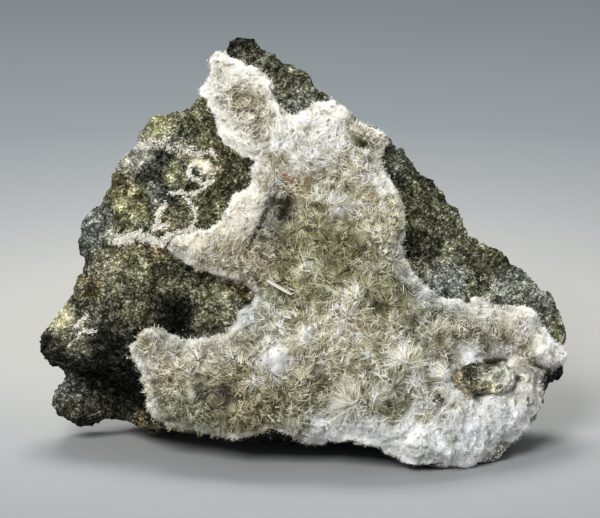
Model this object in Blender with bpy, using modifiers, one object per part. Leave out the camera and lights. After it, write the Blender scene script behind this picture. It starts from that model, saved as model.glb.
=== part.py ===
"""Mordenite specimen: a broken piece of basalt whose face carries a crust of needle sprays.

Two solids: basalt_matrix, the stone, and mordenite_crust, the white crust with its spines.
Both are shaped lying on their backs, with X to the right, Y up the face and Z out of the
face. stand_up then sets them on their base, leaning back, with +Z up and the face to -Y.
"""

import math
import random

import bmesh
import bpy
import numpy as np
from mathutils import Euler, Matrix, Vector, noise
from mathutils.bvhtree import BVHTree
from mathutils.geometry import delaunay_2d_cdt

MM = 0.001

# How the shaped stone is stood on its base, with the middle of the base at the origin
LEAN_BACK = math.radians(14)
FLOOR_DROP = 3.1 * MM
BASE_MIDDLE = 20.0 * MM

# Detail of the solids, and a height above all of them to look down from
VOXEL = 1.25 * MM
ROCK_TRIANGLES = 4100
CRUST_SPACING = 2.6
CUTTER_SIZE = 300.0 * MM
SLAB_HALF = 12.0
ABOVE_ALL = 100.0 * MM

# The stone's edge as its face is looked at, in millimetres, clockwise from the peak
ROCK_OUTLINE = [
    (-12.8, 86.6), (-9.8, 86.0), (-7.2, 84.2), (-5.2, 82.0), (-2.0, 80.2), (1.2, 78.0),
    (4.0, 75.6), (6.2, 73.2), (9.2, 71.6), (12.6, 69.6), (16.4, 67.0), (18.8, 65.2),
    (21.2, 63.0), (23.6, 60.4), (26.8, 58.6), (29.2, 55.3), (31.8, 51.4), (32.0, 48.3),
    (33.9, 46.6), (37.5, 45.7), (40.9, 43.3), (44.5, 39.6), (48.2, 35.6), (51.2, 32.6),
    (53.0, 29.8), (53.2, 26.6), (53.6, 23.4), (53.4, 18.8), (50.2, 16.2), (49.0, 13.2),
    (46.6, 10.8), (44.6, 7.4), (43.0, 5.8), (41.2, 3.8), (40.0, 1.8), (37.4, 0.6),
    (30.0, 0.3), (22.0, 1.2), (17.6, 3.6), (10.0, 5.6), (0.0, 5.4), (-14.0, 6.6),
    (-26.0, 8.4), (-30.8, 8.0), (-32.4, 7.8), (-33.8, 9.0), (-35.8, 10.2), (-38.4, 10.4),
    (-41.4, 9.2), (-44.0, 8.6), (-46.6, 9.4), (-48.8, 11.2), (-49.8, 14.0), (-48.0, 16.2),
    (-46.0, 18.4), (-48.2, 20.0), (-52.6, 22.2), (-53.8, 24.6), (-51.0, 27.2), (-48.8, 30.4),
    (-46.6, 32.4), (-44.4, 35.4), (-43.8, 41.0), (-44.2, 45.8), (-43.6, 49.2), (-41.0, 52.8),
    (-38.6, 54.4), (-36.6, 58.4), (-35.2, 60.2), (-36.0, 62.6), (-33.6, 64.8), (-31.8, 67.0),
    (-30.4, 71.0), (-27.4, 70.4), (-23.4, 71.6), (-20.6, 73.6), (-18.6, 76.8), (-16.8, 81.0),
    (-15.0, 84.6),
]

# The crust's edge, drawn the same way, clockwise from the tip of its upper left arm
CRUST_OUTLINE = [
    (-16.4, 82.8), (-13.2, 81.0), (-10.4, 80.2), (-7.6, 78.2), (-6.0, 76.4), (-6.2, 73.8),
    (-4.6, 71.2), (-2.6, 70.0), (0.0, 70.2), (2.6, 71.6), (5.0, 72.6), (7.4, 72.8),
    (10.2, 71.4), (13.2, 69.4), (16.4, 66.6), (16.6, 64.4), (15.4, 61.8), (15.8, 59.8),
    (17.4, 57.2), (19.2, 54.0), (20.4, 51.0), (20.6, 48.4), (19.8, 45.8), (20.2, 43.0),
    (21.4, 40.2), (23.2, 37.4), (25.4, 35.4), (27.8, 33.8), (30.8, 33.6), (33.4, 32.4),
    (35.2, 34.8), (37.6, 34.4), (39.6, 33.2), (42.2, 33.4), (44.6, 32.0), (46.8, 30.8),
    (47.6, 28.8), (49.8, 27.0), (51.4, 24.2), (53.2, 22.4), (53.2, 20.2), (51.2, 19.0),
    (48.9, 19.4), (47.2, 20.3), (47.4, 18.6), (48.6, 17.4), (48.6, 14.8), (46.8, 12.2),
    (45.2, 9.8), (44.0, 7.2), (41.6, 6.0), (38.8, 5.2), (36.8, 3.2), (34.2, 1.4),
    (31.4, 1.3), (28.8, 1.0), (26.2, 1.9), (23.2, 1.6), (20.4, 2.2), (17.8, 3.0),
    (16.4, 5.0), (13.4, 5.5), (10.0, 6.2), (7.0, 6.4), (4.2, 5.5), (1.2, 5.4),
    (-1.6, 6.6), (-4.4, 8.0), (-6.4, 8.6), (-8.4, 7.4), (-11.2, 6.9), (-14.2, 6.8),
    (-17.2, 7.2), (-20.2, 7.8), (-23.2, 8.0), (-26.0, 9.0), (-28.4, 10.0), (-29.9, 12.4),
    (-29.7, 15.2), (-30.8, 18.0), (-31.8, 20.6), (-33.8, 23.0), (-33.0, 25.4), (-30.8, 27.2),
    (-28.2, 27.3), (-25.4, 26.2), (-22.4, 25.2), (-19.6, 25.5), (-16.8, 26.2), (-14.2, 26.4),
    (-12.2, 28.4), (-11.6, 30.8), (-9.2, 32.4), (-8.2, 34.6), (-9.8, 37.0), (-12.2, 38.0),
    (-15.0, 38.7), (-18.2, 39.3), (-21.0, 40.7), (-23.6, 42.0), (-26.6, 44.0), (-24.4, 46.0),
    (-21.4, 46.6), (-18.4, 46.9), (-16.0, 48.4), (-14.6, 51.2), (-13.0, 54.2), (-10.2, 55.6),
    (-9.0, 58.4), (-8.4, 61.2), (-11.2, 62.2), (-13.6, 64.0), (-15.2, 66.4), (-16.4, 69.4),
    (-17.8, 72.2), (-20.2, 75.6), (-18.4, 78.2), (-18.2, 81.0),
]

# The bare pocket in the crust's right end, where the stone shows through
POCKET_OUTLINE = [
    (29.8, 18.4), (31.6, 20.2), (34.2, 20.4), (36.4, 21.8), (40.6, 21.6), (42.4, 19.6),
    (43.6, 18.6), (42.0, 16.4), (40.8, 14.4), (38.2, 14.8), (35.8, 14.0), (33.4, 13.6),
    (31.2, 15.0), (29.6, 16.6),
]

# How far the face stands out at named places: X, Y and height, in millimetres
FACE = {
    "peak": (-11.6, 86.0, -8.0),
    "peak ridge": (0.0, 77.0, -7.0),
    "ridge end": (6.0, 72.8, -7.0),
    "arm tip": (-16.8, 81.0, -5.0),
    "arm middle": (-12.0, 72.0, 0.5),
    "arm root": (-7.0, 64.0, 4.5),
    "upper arm end": (15.0, 66.4, -1.5),
    "upper middle": (4.0, 68.0, 1.5),
    "upper bowl": (5.0, 57.0, 3.5),
    "slot shoulder": (-8.0, 52.0, 7.5),
    "ledge root": (-13.0, 49.5, 6.5),
    "ledge end": (-25.4, 44.4, 6.0),
    "right edge high": (18.0, 55.4, 4.0),
    "right edge middle": (20.2, 47.0, 6.5),
    "right edge low": (22.0, 38.4, 9.0),
    "middle": (6.0, 42.0, 7.5),
    "belly": (6.0, 25.0, 15.0),
    "belly left": (-8.0, 20.0, 15.5),
    "front lip": (6.0, 8.0, 18.0),
    "front lip left": (-14.0, 9.0, 15.5),
    "left lobe": (-22.0, 17.6, 14.5),
    "left lobe corner": (-29.0, 13.0, 10.5),
    "left lobe top": (-30.0, 25.4, 9.0),
    "front foot": (28.0, 1.6, 16.5),
    "above the foot": (27.0, 10.0, 18.0),
    "foot end": (38.6, 3.8, 10.5),
    "right lobe": (38.0, 28.0, 9.0),
    "right lobe end": (51.4, 22.0, 1.0),
    "pocket": (36.6, 17.8, 10.5),
    "right corner": (45.6, 12.2, 6.0),
    "upper left edge": (-29.0, 68.0, -6.0),
    "upper left face": (-26.0, 60.0, 1.5),
    "beside the arm": (-15.4, 61.0, 0.0),
    "left shoulder": (-37.4, 54.0, -4.0),
    "left knob": (-41.6, 48.0, -3.0),
    "above the ledge": (-21.0, 51.0, 2.0),
    "below the ledge": (-13.0, 35.6, 2.5),
    "lower block top": (-37.0, 42.0, 4.0),
    "lower block": (-27.0, 34.0, 7.5),
    "lower block right": (-16.4, 29.6, 6.0),
    "lower block left": (-41.6, 28.0, 5.0),
    "left tip": (-51.6, 24.4, 0.0),
    "block underside": (-40.0, 20.6, 5.0),
    "recess": (-36.0, 14.0, -2.0),
    "lower knob": (-43.0, 12.4, -1.0),
    "right slope top": (19.8, 63.2, -7.0),
    "right slope": (25.0, 50.0, -1.5),
    "right hump": (30.8, 51.2, -8.0),
    "right hollow": (28.0, 41.4, -1.0),
    "right shelf": (40.0, 39.4, -5.0),
    "right end": (50.4, 31.0, -7.0),
}

# The flat breaks of the back: height where X and Y are nought, in millimetres, and the rise
# for each millimetre of X and of Y. The break that comes nearest the face is the one there.
BACK = {
    "middle": (-31.0, 0.0, 0.17),
    "right": (-42.0, 0.5, 0.22),
    "left": (-37.5, -0.45, 0.15),
    "top": (-47.0, 0.06, 0.40),
    "foot": (-24.0, 0.05, -0.45),
    "upper left": (-44.0, -0.32, 0.32),
}

# Sharp-edged lips: the line of the edge in millimetres, how far it stands out, and how far
# up the face it takes to die away. Below the line the stone drops back within LIP_DROP.
LIP_DROP = 1.4
LIPS = {
    "white ledge": ([(-26.8, 43.6), (-20.8, 40.3), (-15.0, 38.4), (-9.6, 36.4)], 5.5, 7.0),
    "crust overhang": ([(-12.0, 63.0), (-6.0, 58.5), (-5.0, 53.5), (-8.0, 47.0)], 2.2, 4.5),
    "block edge": ([(-51.0, 22.0), (-42.0, 20.4), (-35.0, 16.8), (-31.0, 13.2)], 3.5, 6.0),
    "shoulder edge": ([(-43.0, 45.0), (-37.0, 45.4), (-31.0, 45.8)], 1.8, 5.0),
}

# Hollows: the line of the bottom in millimetres, how deep it is, and its half width
HOLLOWS = {
    "vug slot": ([(-11.0, 43.6), (-7.0, 47.4), (-3.6, 52.0), (-2.2, 54.6)], 5.0, 2.6),
    "under the ledge": ([(-23.0, 41.0), (-17.0, 37.6), (-12.0, 35.4), (-9.8, 32.4)], 3.0, 2.8),
    "under the block": ([(-43.5, 17.0), (-38.5, 15.2), (-32.6, 11.2)], 8.0, 3.4),
    "right slope foot": ([(21.0, 54.0), (24.0, 43.0), (31.0, 38.0), (41.0, 36.4)], 1.6, 3.0),
}

# Roughness of broken basalt: size and height of the lumps, and size and lean of the chips
LUMPS = [(13.0, 1.0), (5.5, 0.7), (2.6, 0.35)]
LUMP_SHIFT = Vector((7.3, 2.9, 5.1))
CREASE_SHARE = 0.35
CREASE_FINENESS = 1.9
CHIPS = [(12.0, 0.42), (6.0, 0.34)]
CHIP_SHUFFLE = 9.7
SIDEWAYS_ROUGHNESS = 0.4

# How the broken edge is rounded: how far in it reaches, and how much on the face and the back
EDGE_ROUNDING = 2.6
FACE_ROUNDING = 0.7
BACK_ROUNDING = 1.6

# How much the stone narrows for each millimetre behind its face, down to its foot line
BACK_TAPER = 0.0042
FOOT_LINE = 8.0

# The crust: how its points are spread over its outline
LAYOUT_STRAY = 0.3 * CRUST_SPACING
RIM_CLEARANCE = 0.55 * CRUST_SPACING

# The crust: how thick it stands on the stone, how deep it is bedded, and the gap under it
CRUST_THICKNESS = 1.9
CRUST_RIM_THICKNESS = 1.5
CRUST_RIM_WIDTH = 4.0
CRUST_LUMPS = (6.0, 0.5)
CRUST_BED = 0.9
BED_GAP = 0.3
RIM_BED_GAP = 0.75
SEAT_HEIGHT = 30.0

# How the crust bridges the roughness under it: rounds of evening out and share of each
BRIDGING = (3, 0.45)
OVERHANG_DROP = 0.4
OVERHANG_ROUNDS = 6

# The spines: bare rim, steepest face that has one, distance between the sprays, length, and
# how far towards its foot's edge each one leans. A tip stays above its own foot, so that no
# two spines cross.
BARE_RIM = 1.5
STEEPEST_SPINED = 0.25
SPRAY_SPACING = 5.2
SPRAY_TRIES = 4000
SPINE_LENGTH = (1.6, 2.9)
SPINE_LEAN = 0.8
SPINE_STRAY = 0.25

# Compact white balls of needles on the crust: X, Y, radius and height, in millimetres
WHITE_BALLS = [(-4.6, 21.2, 3.0, 1.6), (2.2, 26.2, 1.8, 1.0), (-9.5, 15.0, 2.2, 0.9)]

ROCK_GREEN_GREY = (0.105, 0.105, 0.078, 1.0)
CRUST_WHITE = (0.72, 0.70, 0.64, 1.0)


def clear_scene():
    for obj in list(bpy.data.objects):
        bpy.data.objects.remove(obj, do_unlink=True)


def collection(name, parent):
    made = bpy.data.collections.new(name)
    parent.children.link(made)
    return made


def material(name, colour, roughness):
    made = bpy.data.materials.new(name)
    made.use_nodes = True
    shader = made.node_tree.nodes["Principled BSDF"]
    shader.inputs["Base Color"].default_value = colour
    shader.inputs["Roughness"].default_value = roughness
    shader.inputs["Metallic"].default_value = 0.0
    return made


def add_object(name, mesh, into):
    obj = bpy.data.objects.new(name, mesh)
    into.objects.link(obj)
    return obj


def with_modifier(obj, kind, **settings):
    """Adds one modifier, applies it and returns its object."""
    modifier = obj.modifiers.new(kind.title(), kind)
    for key, value in settings.items():
        setattr(modifier, key, value)
    evaluated = obj.evaluated_get(bpy.context.evaluated_depsgraph_get())
    mesh = bpy.data.meshes.new_from_object(evaluated)
    obj.modifiers.clear()
    obj.data = mesh
    return obj


def edge_distance(x, y, outline, closed=True):
    """Distance from a point to an outline, or to an open line, in the line's own units."""
    nearest = math.inf
    for i in range(0 if closed else 1, len(outline)):
        (ax, ay), (bx, by) = outline[i - 1], outline[i]
        dx, dy = bx - ax, by - ay
        along = ((x - ax) * dx + (y - ay) * dy) / (dx * dx + dy * dy)
        along = min(1.0, max(0.0, along))
        nearest = min(nearest, math.hypot(x - ax - along * dx, y - ay - along * dy))
    return nearest


def inside(x, y, outline):
    """Whether a point lies inside a closed outline."""
    found = False
    for i, (bx, by) in enumerate(outline):
        ax, ay = outline[i - 1]
        if (ay > y) != (by > y) and x < ax + (y - ay) * (bx - ax) / (by - ay):
            found = not found
    return found


def smooth_step(value):
    value = min(1.0, max(0.0, value))
    return value * value * (3.0 - 2.0 * value)


def heights_through(places):
    """A function of X and Y that runs smoothly through the named heights."""
    known = np.array(list(places.values()))
    gaps = np.linalg.norm(known[:, None, :2] - known[None, :, :2], axis=2)
    count = len(known)
    system = np.zeros((count + 3, count + 3))
    system[:count, :count] = gaps
    system[:count, count] = system[count, :count] = 1.0
    system[:count, count + 1 :] = known[:, :2]
    system[count + 1 :, :count] = known[:, :2].T
    weights = np.linalg.solve(system, np.append(known[:, 2], (0.0, 0.0, 0.0)))

    def height(x, y):
        reach = np.hypot(known[:, 0] - x, known[:, 1] - y)
        return float(reach @ weights[:count] + weights[count:] @ (1.0, x, y))

    return height


def lip_height(x, y, line, rise, fade):
    """How far a lip lifts the face at one point."""
    best = None
    for (ax, ay), (bx, by) in zip(line, line[1:]):
        dx, dy = bx - ax, by - ay
        length = math.hypot(dx, dy)
        along = ((x - ax) * dx + (y - ay) * dy) / length**2
        held = min(1.0, max(0.0, along))
        reach = math.hypot(x - ax - held * dx, y - ay - held * dy)
        side = (dx * (y - ay) - dy * (x - ax)) / length
        past_end = abs(along - held) * length
        if best is None or reach < best[0]:
            best = (reach, side, past_end)
    reach, side, past_end = best
    ends = 1.0 - smooth_step(past_end / fade)
    if side < 0.0:
        return rise * ends * (1.0 - smooth_step(reach / LIP_DROP))
    return rise * ends * math.exp(-((reach / fade) ** 2))


def hollow_depth(x, y, line, depth, half_width):
    """How far a hollow sinks the face at one point."""
    reach = edge_distance(x, y, line, closed=False)
    return depth * math.exp(-((reach / half_width) ** 2))


def roughness_at(point):
    """Broken-stone relief at a point, all in millimetres."""
    total = 0.0
    for number, (size, height) in enumerate(LUMPS):
        shifted = point / size + LUMP_SHIFT * (number + 1)
        crease = abs(noise.noise(shifted * CREASE_FINENESS))
        total += height * (noise.noise(shifted) - CREASE_SHARE * crease)
    for size, lean in CHIPS:
        placed = point / size
        middle = noise.voronoi(placed)[1][0]
        tilt = noise.cell_vector(middle * CHIP_SHUFFLE) - Vector((0.5, 0.5, 0.5))
        total += size * lean * tilt.dot(placed - middle)
    return total


def outline_prism(name, outline, low, high, into):
    """A solid between two heights with the given outline, in millimetres, as its edge."""
    curve = bpy.data.curves.new(name, "CURVE")
    curve.dimensions = "2D"
    curve.fill_mode = "BOTH"
    curve.extrude = (high - low) / 2 * MM
    spline = curve.splines.new("POLY")
    spline.points.add(len(outline) - 1)
    for point, (x, y) in zip(spline.points, outline):
        point.co = (x * MM, y * MM, 0.0, 1.0)
    spline.use_cyclic_u = True
    drawn = add_object(name + "_curve", curve, into)
    bpy.context.view_layer.update()
    evaluated = drawn.evaluated_get(bpy.context.evaluated_depsgraph_get())
    mesh = bpy.data.meshes.new_from_object(evaluated)
    bpy.data.objects.remove(drawn)
    mesh.transform(Matrix.Translation((0.0, 0.0, (high + low) / 2 * MM)))
    edit = bmesh.new()
    edit.from_mesh(mesh)
    bmesh.ops.remove_doubles(edit, verts=edit.verts, dist=0.01 * MM)
    bmesh.ops.recalc_face_normals(edit, faces=edit.faces)
    edit.to_mesh(mesh)
    edit.free()
    return add_object(name, mesh, into)


def shape_rock(obj):
    """Bends a flat slab to the heights of the face and the back, then rounds its edges."""
    face_height = heights_through(FACE)
    slab = max(vertex.co.z for vertex in obj.data.vertices)
    for vertex in obj.data.vertices:
        x, y = vertex.co.x / MM, vertex.co.y / MM
        front = face_height(x, y)
        back = max(height + in_x * x + in_y * y for height, in_x, in_y in BACK.values())
        for line, rise, fade in LIPS.values():
            front += lip_height(x, y, line, rise, fade)
        for line, depth, half_width in HOLLOWS.values():
            front -= hollow_depth(x, y, line, depth, half_width)
        edge = min(1.0, edge_distance(x, y, ROCK_OUTLINE) / EDGE_ROUNDING)
        sunk = EDGE_ROUNDING * (1.0 - math.sqrt(1.0 - (1.0 - edge) ** 2))
        front -= sunk * FACE_ROUNDING
        back += sunk * BACK_ROUNDING
        share = (vertex.co.z / slab + 1.0) / 2.0
        z = back + share * (front - back)
        narrowing = 1.0 - BACK_TAPER * (front - z)
        vertex.co = Vector((x * narrowing, FOOT_LINE + (y - FOOT_LINE) * narrowing, z)) * MM


def roughen_rock(obj):
    """Pushes each vertex along its normal by the broken-stone relief, less so sideways."""
    normals = [vertex.normal.copy() for vertex in obj.data.vertices]
    for vertex, normal in zip(obj.data.vertices, normals):
        push = normal * roughness_at(vertex.co / MM) * MM
        push.x *= SIDEWAYS_ROUGHNESS
        push.y *= SIDEWAYS_ROUGHNESS
        vertex.co += push


def cut_base(obj, into):
    """Cuts the flat base that the stone stands on."""
    down = Vector((0.0, -math.cos(LEAN_BACK), -math.sin(LEAN_BACK)))
    block = bmesh.new()
    bmesh.ops.create_cube(block, size=CUTTER_SIZE)
    turn = Vector((0.0, 0.0, 1.0)).rotation_difference(down).to_matrix().to_4x4()
    block.transform(Matrix.Translation(down * (CUTTER_SIZE / 2 - FLOOR_DROP)) @ turn)
    mesh = bpy.data.meshes.new("floor_cut")
    block.to_mesh(mesh)
    block.free()
    cutter = add_object("floor_cut", mesh, into)
    with_modifier(obj, "BOOLEAN", operation="DIFFERENCE", object=cutter, solver="EXACT")
    bpy.data.objects.remove(cutter)


def keep_largest(obj):
    """Deletes the crumbs that a cut leaves beside the main body."""
    edit = bmesh.new()
    edit.from_mesh(obj.data)
    shells, seen = [], set()
    for start in edit.verts:
        if start in seen:
            continue
        seen.add(start)
        shell = [start]
        for vertex in shell:
            for edge in vertex.link_edges:
                other = edge.other_vert(vertex)
                if other not in seen:
                    seen.add(other)
                    shell.append(other)
        shells.append(shell)
    largest = max(shells, key=len)
    crumbs = [vertex for shell in shells if shell is not largest for vertex in shell]
    bmesh.ops.delete(edit, geom=crumbs, context="VERTS")
    edit.to_mesh(obj.data)
    edit.free()


def make_rock_blank(into, helpers):
    obj = outline_prism("basalt_matrix", ROCK_OUTLINE, -SLAB_HALF, SLAB_HALF, into)
    with_modifier(obj, "REMESH", mode="VOXEL", voxel_size=VOXEL, adaptivity=0.0)
    shape_rock(obj)
    with_modifier(obj, "REMESH", mode="VOXEL", voxel_size=VOXEL, adaptivity=0.0)
    roughen_rock(obj)
    with_modifier(obj, "REMESH", mode="VOXEL", voxel_size=VOXEL, adaptivity=0.0)
    triangles = sum(len(face.vertices) - 2 for face in obj.data.polygons)
    ratio = ROCK_TRIANGLES / triangles
    with_modifier(obj, "DECIMATE", ratio=ratio, use_collapse_triangulate=True)
    cut_base(obj, helpers)
    return obj


def on_crust(x, y):
    return inside(x, y, CRUST_OUTLINE) and not inside(x, y, POCKET_OUTLINE)


def rim_distance(x, y):
    return min(edge_distance(x, y, CRUST_OUTLINE), edge_distance(x, y, POCKET_OUTLINE))


def crust_span(axis):
    """Lowest and highest X or Y of the crust's outline."""
    places = [point[axis] for point in CRUST_OUTLINE]
    return min(places), max(places)


def crust_layout():
    """Points and triangles that fill the crust's outline, less the pocket, in millimetres."""
    chance = random.Random(4)
    points, edges = [], []
    for outline in (CRUST_OUTLINE, POCKET_OUTLINE):
        first = len(points)
        points += [Vector(point) for point in outline]
        edges += [(first + i, first + (i + 1) % len(outline)) for i in range(len(outline))]
    rim_count = len(points)
    for row, y in enumerate(np.arange(*crust_span(1), CRUST_SPACING * math.sqrt(3) / 2)):
        for x in np.arange(*crust_span(0), CRUST_SPACING) + row % 2 * CRUST_SPACING / 2:
            strays = [chance.uniform(-LAYOUT_STRAY, LAYOUT_STRAY) for _ in "xy"]
            point = Vector((x + strays[0], y + strays[1]))
            if on_crust(*point) and rim_distance(*point) > RIM_CLEARANCE:
                points.append(point)
    made = delaunay_2d_cdt(points, edges, [], 0, 1e-5)
    corners, triangles = made[0], made[2]
    kept = []
    for triangle in triangles:
        middle = sum((corners[i] for i in triangle), Vector((0.0, 0.0))) / 3
        if on_crust(*middle):
            kept.append(tuple(triangle))
    return [tuple(corner) for corner in corners], kept, rim_count


def bed_heights(points, triangles, rock):
    """Height of the stone under each point of the crust, evened out so the crust bridges."""
    tree = BVHTree.FromObject(rock, bpy.context.evaluated_depsgraph_get())
    heights = []
    for x, y in points:
        hit = tree.ray_cast(Vector((x * MM, y * MM, ABOVE_ALL)), Vector((0.0, 0.0, -1.0)))[0]
        heights.append(hit.z / MM if hit else None)
    beside = [set() for _ in points]
    for triangle in triangles:
        for corner in triangle:
            beside[corner].update(set(triangle) - {corner})
    for _ in range(OVERHANG_ROUNDS):
        for number, height in enumerate(heights):
            around = [heights[other] for other in beside[number] if heights[other] is not None]
            if height is None and around:
                heights[number] = sum(around) / len(around) - OVERHANG_DROP
    rounds, share = BRIDGING
    for _ in range(rounds):
        before = list(heights)
        for number, others in enumerate(beside):
            mean = sum(before[other] for other in others) / len(others)
            heights[number] += share * (mean - before[number])
    slot = HOLLOWS["vug slot"]
    return [height - hollow_depth(x, y, *slot) / 2 for height, (x, y) in zip(heights, points)]


def crust_thickness(x, y):
    inward = smooth_step(rim_distance(x, y) / CRUST_RIM_WIDTH)
    thick = CRUST_RIM_THICKNESS + (CRUST_THICKNESS - CRUST_RIM_THICKNESS) * inward
    lump_size, lump_height = CRUST_LUMPS
    thick += lump_height * noise.noise(Vector((x / lump_size, y / lump_size, 3.0)))
    for ball_x, ball_y, radius, height in WHITE_BALLS:
        reach = math.hypot(x - ball_x, y - ball_y) / radius
        if reach < 1.0:
            thick += height * math.sqrt(1.0 - reach * reach)
    return thick


def sheet_solid(name, points, triangles, low, high, into):
    """A closed solid between two heights at each point of a triangulated sheet."""
    mesh = bpy.data.meshes.new(name)
    mesh.from_pydata([(x * MM, y * MM, z * MM) for (x, y), z in zip(points, low)], [], triangles)
    edit = bmesh.new()
    edit.from_mesh(mesh)
    place = edit.verts.layers.int.new("place")
    for number, vertex in enumerate(edit.verts):
        vertex[place] = number
    made = bmesh.ops.extrude_face_region(edit, geom=edit.faces[:])
    for item in made["geom"]:
        if isinstance(item, bmesh.types.BMVert):
            item.co.z = high[item[place]] * MM
    bmesh.ops.triangulate(edit, faces=[face for face in edit.faces if len(face.verts) == 4])
    bmesh.ops.recalc_face_normals(edit, faces=edit.faces)
    edit.to_mesh(mesh)
    edit.free()
    return add_object(name, mesh, into)


def grown(points, rim_count, by):
    """The layout's points with those on the outlines moved off the crust by a distance."""
    loops = [(0, len(CRUST_OUTLINE), -1.0), (len(CRUST_OUTLINE), rim_count, 1.0)]
    moved = list(points)
    for start, end, way in loops:
        loop = points[start:end]
        for i, (x, y) in enumerate(loop):
            before, after = Vector(loop[i - 1]), Vector(loop[(i + 1) % len(loop)])
            along = (after - before).normalized()
            outward = Vector((along.y, -along.x)) * way * by
            moved[start + i] = (x + outward.x, y + outward.y)
    return moved


def spray_centres():
    """Where the needle sprays start on the crust, in millimetres."""
    chance = random.Random(11)
    centres = []
    for _ in range(SPRAY_TRIES):
        x, y = chance.uniform(*crust_span(0)), chance.uniform(*crust_span(1))
        clear = all(math.hypot(x - cx, y - cy) > SPRAY_SPACING for cx, cy in centres)
        if clear and on_crust(x, y):
            centres.append((x, y))
    return centres


def foot_reach(corners, middle, way):
    """How far a line runs from the middle of a triangle to its edge, all in X and Y."""
    reach = math.inf
    for i, corner in enumerate(corners):
        side = corner - corners[i - 1]
        outward = Vector((side.y, -side.x))
        if outward.dot(middle - corner) > 0.0:
            outward.negate()
        speed = outward.dot(way)
        if speed > 0.0:
            reach = min(reach, outward.dot(corner - middle) / speed)
    return reach


def grow_spines(obj):
    """Raises each face of the crust's front, off its rim, to a spine leaning off its spray."""
    chance = random.Random(23)
    centres = spray_centres()
    edit = bmesh.new()
    edit.from_mesh(obj.data)
    edit.normal_update()
    front = [face for face in edit.faces if face.normal.z > STEEPEST_SPINED]
    for face in front:
        middle = face.calc_center_median()
        x, y = middle.x / MM, middle.y / MM
        if rim_distance(x, y) < BARE_RIM:
            continue
        cx, cy = min(centres, key=lambda centre: math.hypot(x - centre[0], y - centre[1]))
        stray_x, stray_y = (chance.uniform(-SPINE_STRAY, SPINE_STRAY) for _ in "xy")
        away = Vector(((x - cx) / SPRAY_SPACING + stray_x, (y - cy) / SPRAY_SPACING + stray_y))
        away.normalize()
        corners = [vertex.co.xy for vertex in face.verts]
        lean = away * foot_reach(corners, middle.xy, away) * SPINE_LEAN
        poked = bmesh.ops.poke(edit, faces=[face])
        rise = chance.uniform(*SPINE_LENGTH) * MM
        poked["verts"][0].co = middle + Vector((lean.x, lean.y, rise))
    edit.to_mesh(obj.data)
    edit.free()


def make_crust(rock, into, helpers):
    points, triangles, rim_count = crust_layout()
    bed = bed_heights(points, triangles, rock)
    low = [height - CRUST_BED for height in bed]
    high = [height + crust_thickness(x, y) for height, (x, y) in zip(bed, points)]
    crust = sheet_solid("mordenite_crust", points, triangles, low, high, into)
    grow_spines(crust)
    seat_low = [
        height - (RIM_BED_GAP if number < rim_count else BED_GAP)
        for number, height in enumerate(low)
    ]
    seat_high = [height + SEAT_HEIGHT for height in high]
    wider = grown(points, rim_count, BED_GAP)
    seat = sheet_solid("crust_seat", wider, triangles, seat_low, seat_high, helpers)
    seat.hide_render = True
    seat.display_type = "WIRE"
    return crust, seat


def stand_up(obj):
    """Turns a piece from lying on its back to standing on its base, in its own mesh."""
    turn = Euler((math.pi / 2 - LEAN_BACK, 0.0, 0.0)).to_matrix().to_4x4()
    obj.data.transform(Matrix.Translation((0.0, -BASE_MIDDLE, -FLOOR_DROP)) @ turn)


def main():
    clear_scene()
    specimen = collection("mordenite_specimen", bpy.context.scene.collection)
    helpers = collection("cutters", bpy.context.scene.collection)
    rock = make_rock_blank(specimen, helpers)
    crust, seat = make_crust(rock, specimen, helpers)
    with_modifier(rock, "BOOLEAN", operation="DIFFERENCE", object=seat, solver="EXACT")
    keep_largest(rock)
    rock.data.materials.clear()
    rock.data.materials.append(material("green_grey_basalt", ROCK_GREEN_GREY, 0.85))
    crust.data.materials.append(material("white_mordenite", CRUST_WHITE, 0.7))
    for piece in (rock, crust, seat):
        stand_up(piece)


main()
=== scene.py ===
"""Looks of the mordenite specimen: a broken basalt stone with a crust of needle sprays.

Shapes are made in the face frame, in millimetres: X runs to the right, Y up the stone's face
and Z out of it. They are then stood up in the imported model's own frame, in metres.
"""

import math

import bpy
import numpy as np
from mathutils import Euler, Matrix, Vector, kdtree, noise
from mathutils.bvhtree import BVHTree


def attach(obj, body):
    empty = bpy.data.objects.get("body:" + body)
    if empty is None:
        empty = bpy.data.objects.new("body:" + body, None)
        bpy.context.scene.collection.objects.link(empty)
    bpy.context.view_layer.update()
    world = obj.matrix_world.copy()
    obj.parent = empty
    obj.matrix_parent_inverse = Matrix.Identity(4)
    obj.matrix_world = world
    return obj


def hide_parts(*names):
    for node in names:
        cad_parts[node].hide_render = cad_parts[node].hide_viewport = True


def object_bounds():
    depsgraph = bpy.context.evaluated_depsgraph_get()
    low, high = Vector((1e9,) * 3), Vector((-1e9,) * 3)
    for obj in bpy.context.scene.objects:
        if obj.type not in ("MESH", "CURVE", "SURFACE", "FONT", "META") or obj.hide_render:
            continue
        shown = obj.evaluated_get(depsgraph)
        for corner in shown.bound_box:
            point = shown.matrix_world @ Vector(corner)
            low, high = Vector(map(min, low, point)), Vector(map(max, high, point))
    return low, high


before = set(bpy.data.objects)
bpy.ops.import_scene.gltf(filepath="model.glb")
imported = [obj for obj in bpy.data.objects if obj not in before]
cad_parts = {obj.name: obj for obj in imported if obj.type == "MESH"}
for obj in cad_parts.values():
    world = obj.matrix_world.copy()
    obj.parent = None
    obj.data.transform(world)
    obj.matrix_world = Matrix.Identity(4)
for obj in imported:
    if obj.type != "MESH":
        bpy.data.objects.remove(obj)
CAD_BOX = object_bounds()

MM = 0.001

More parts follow.
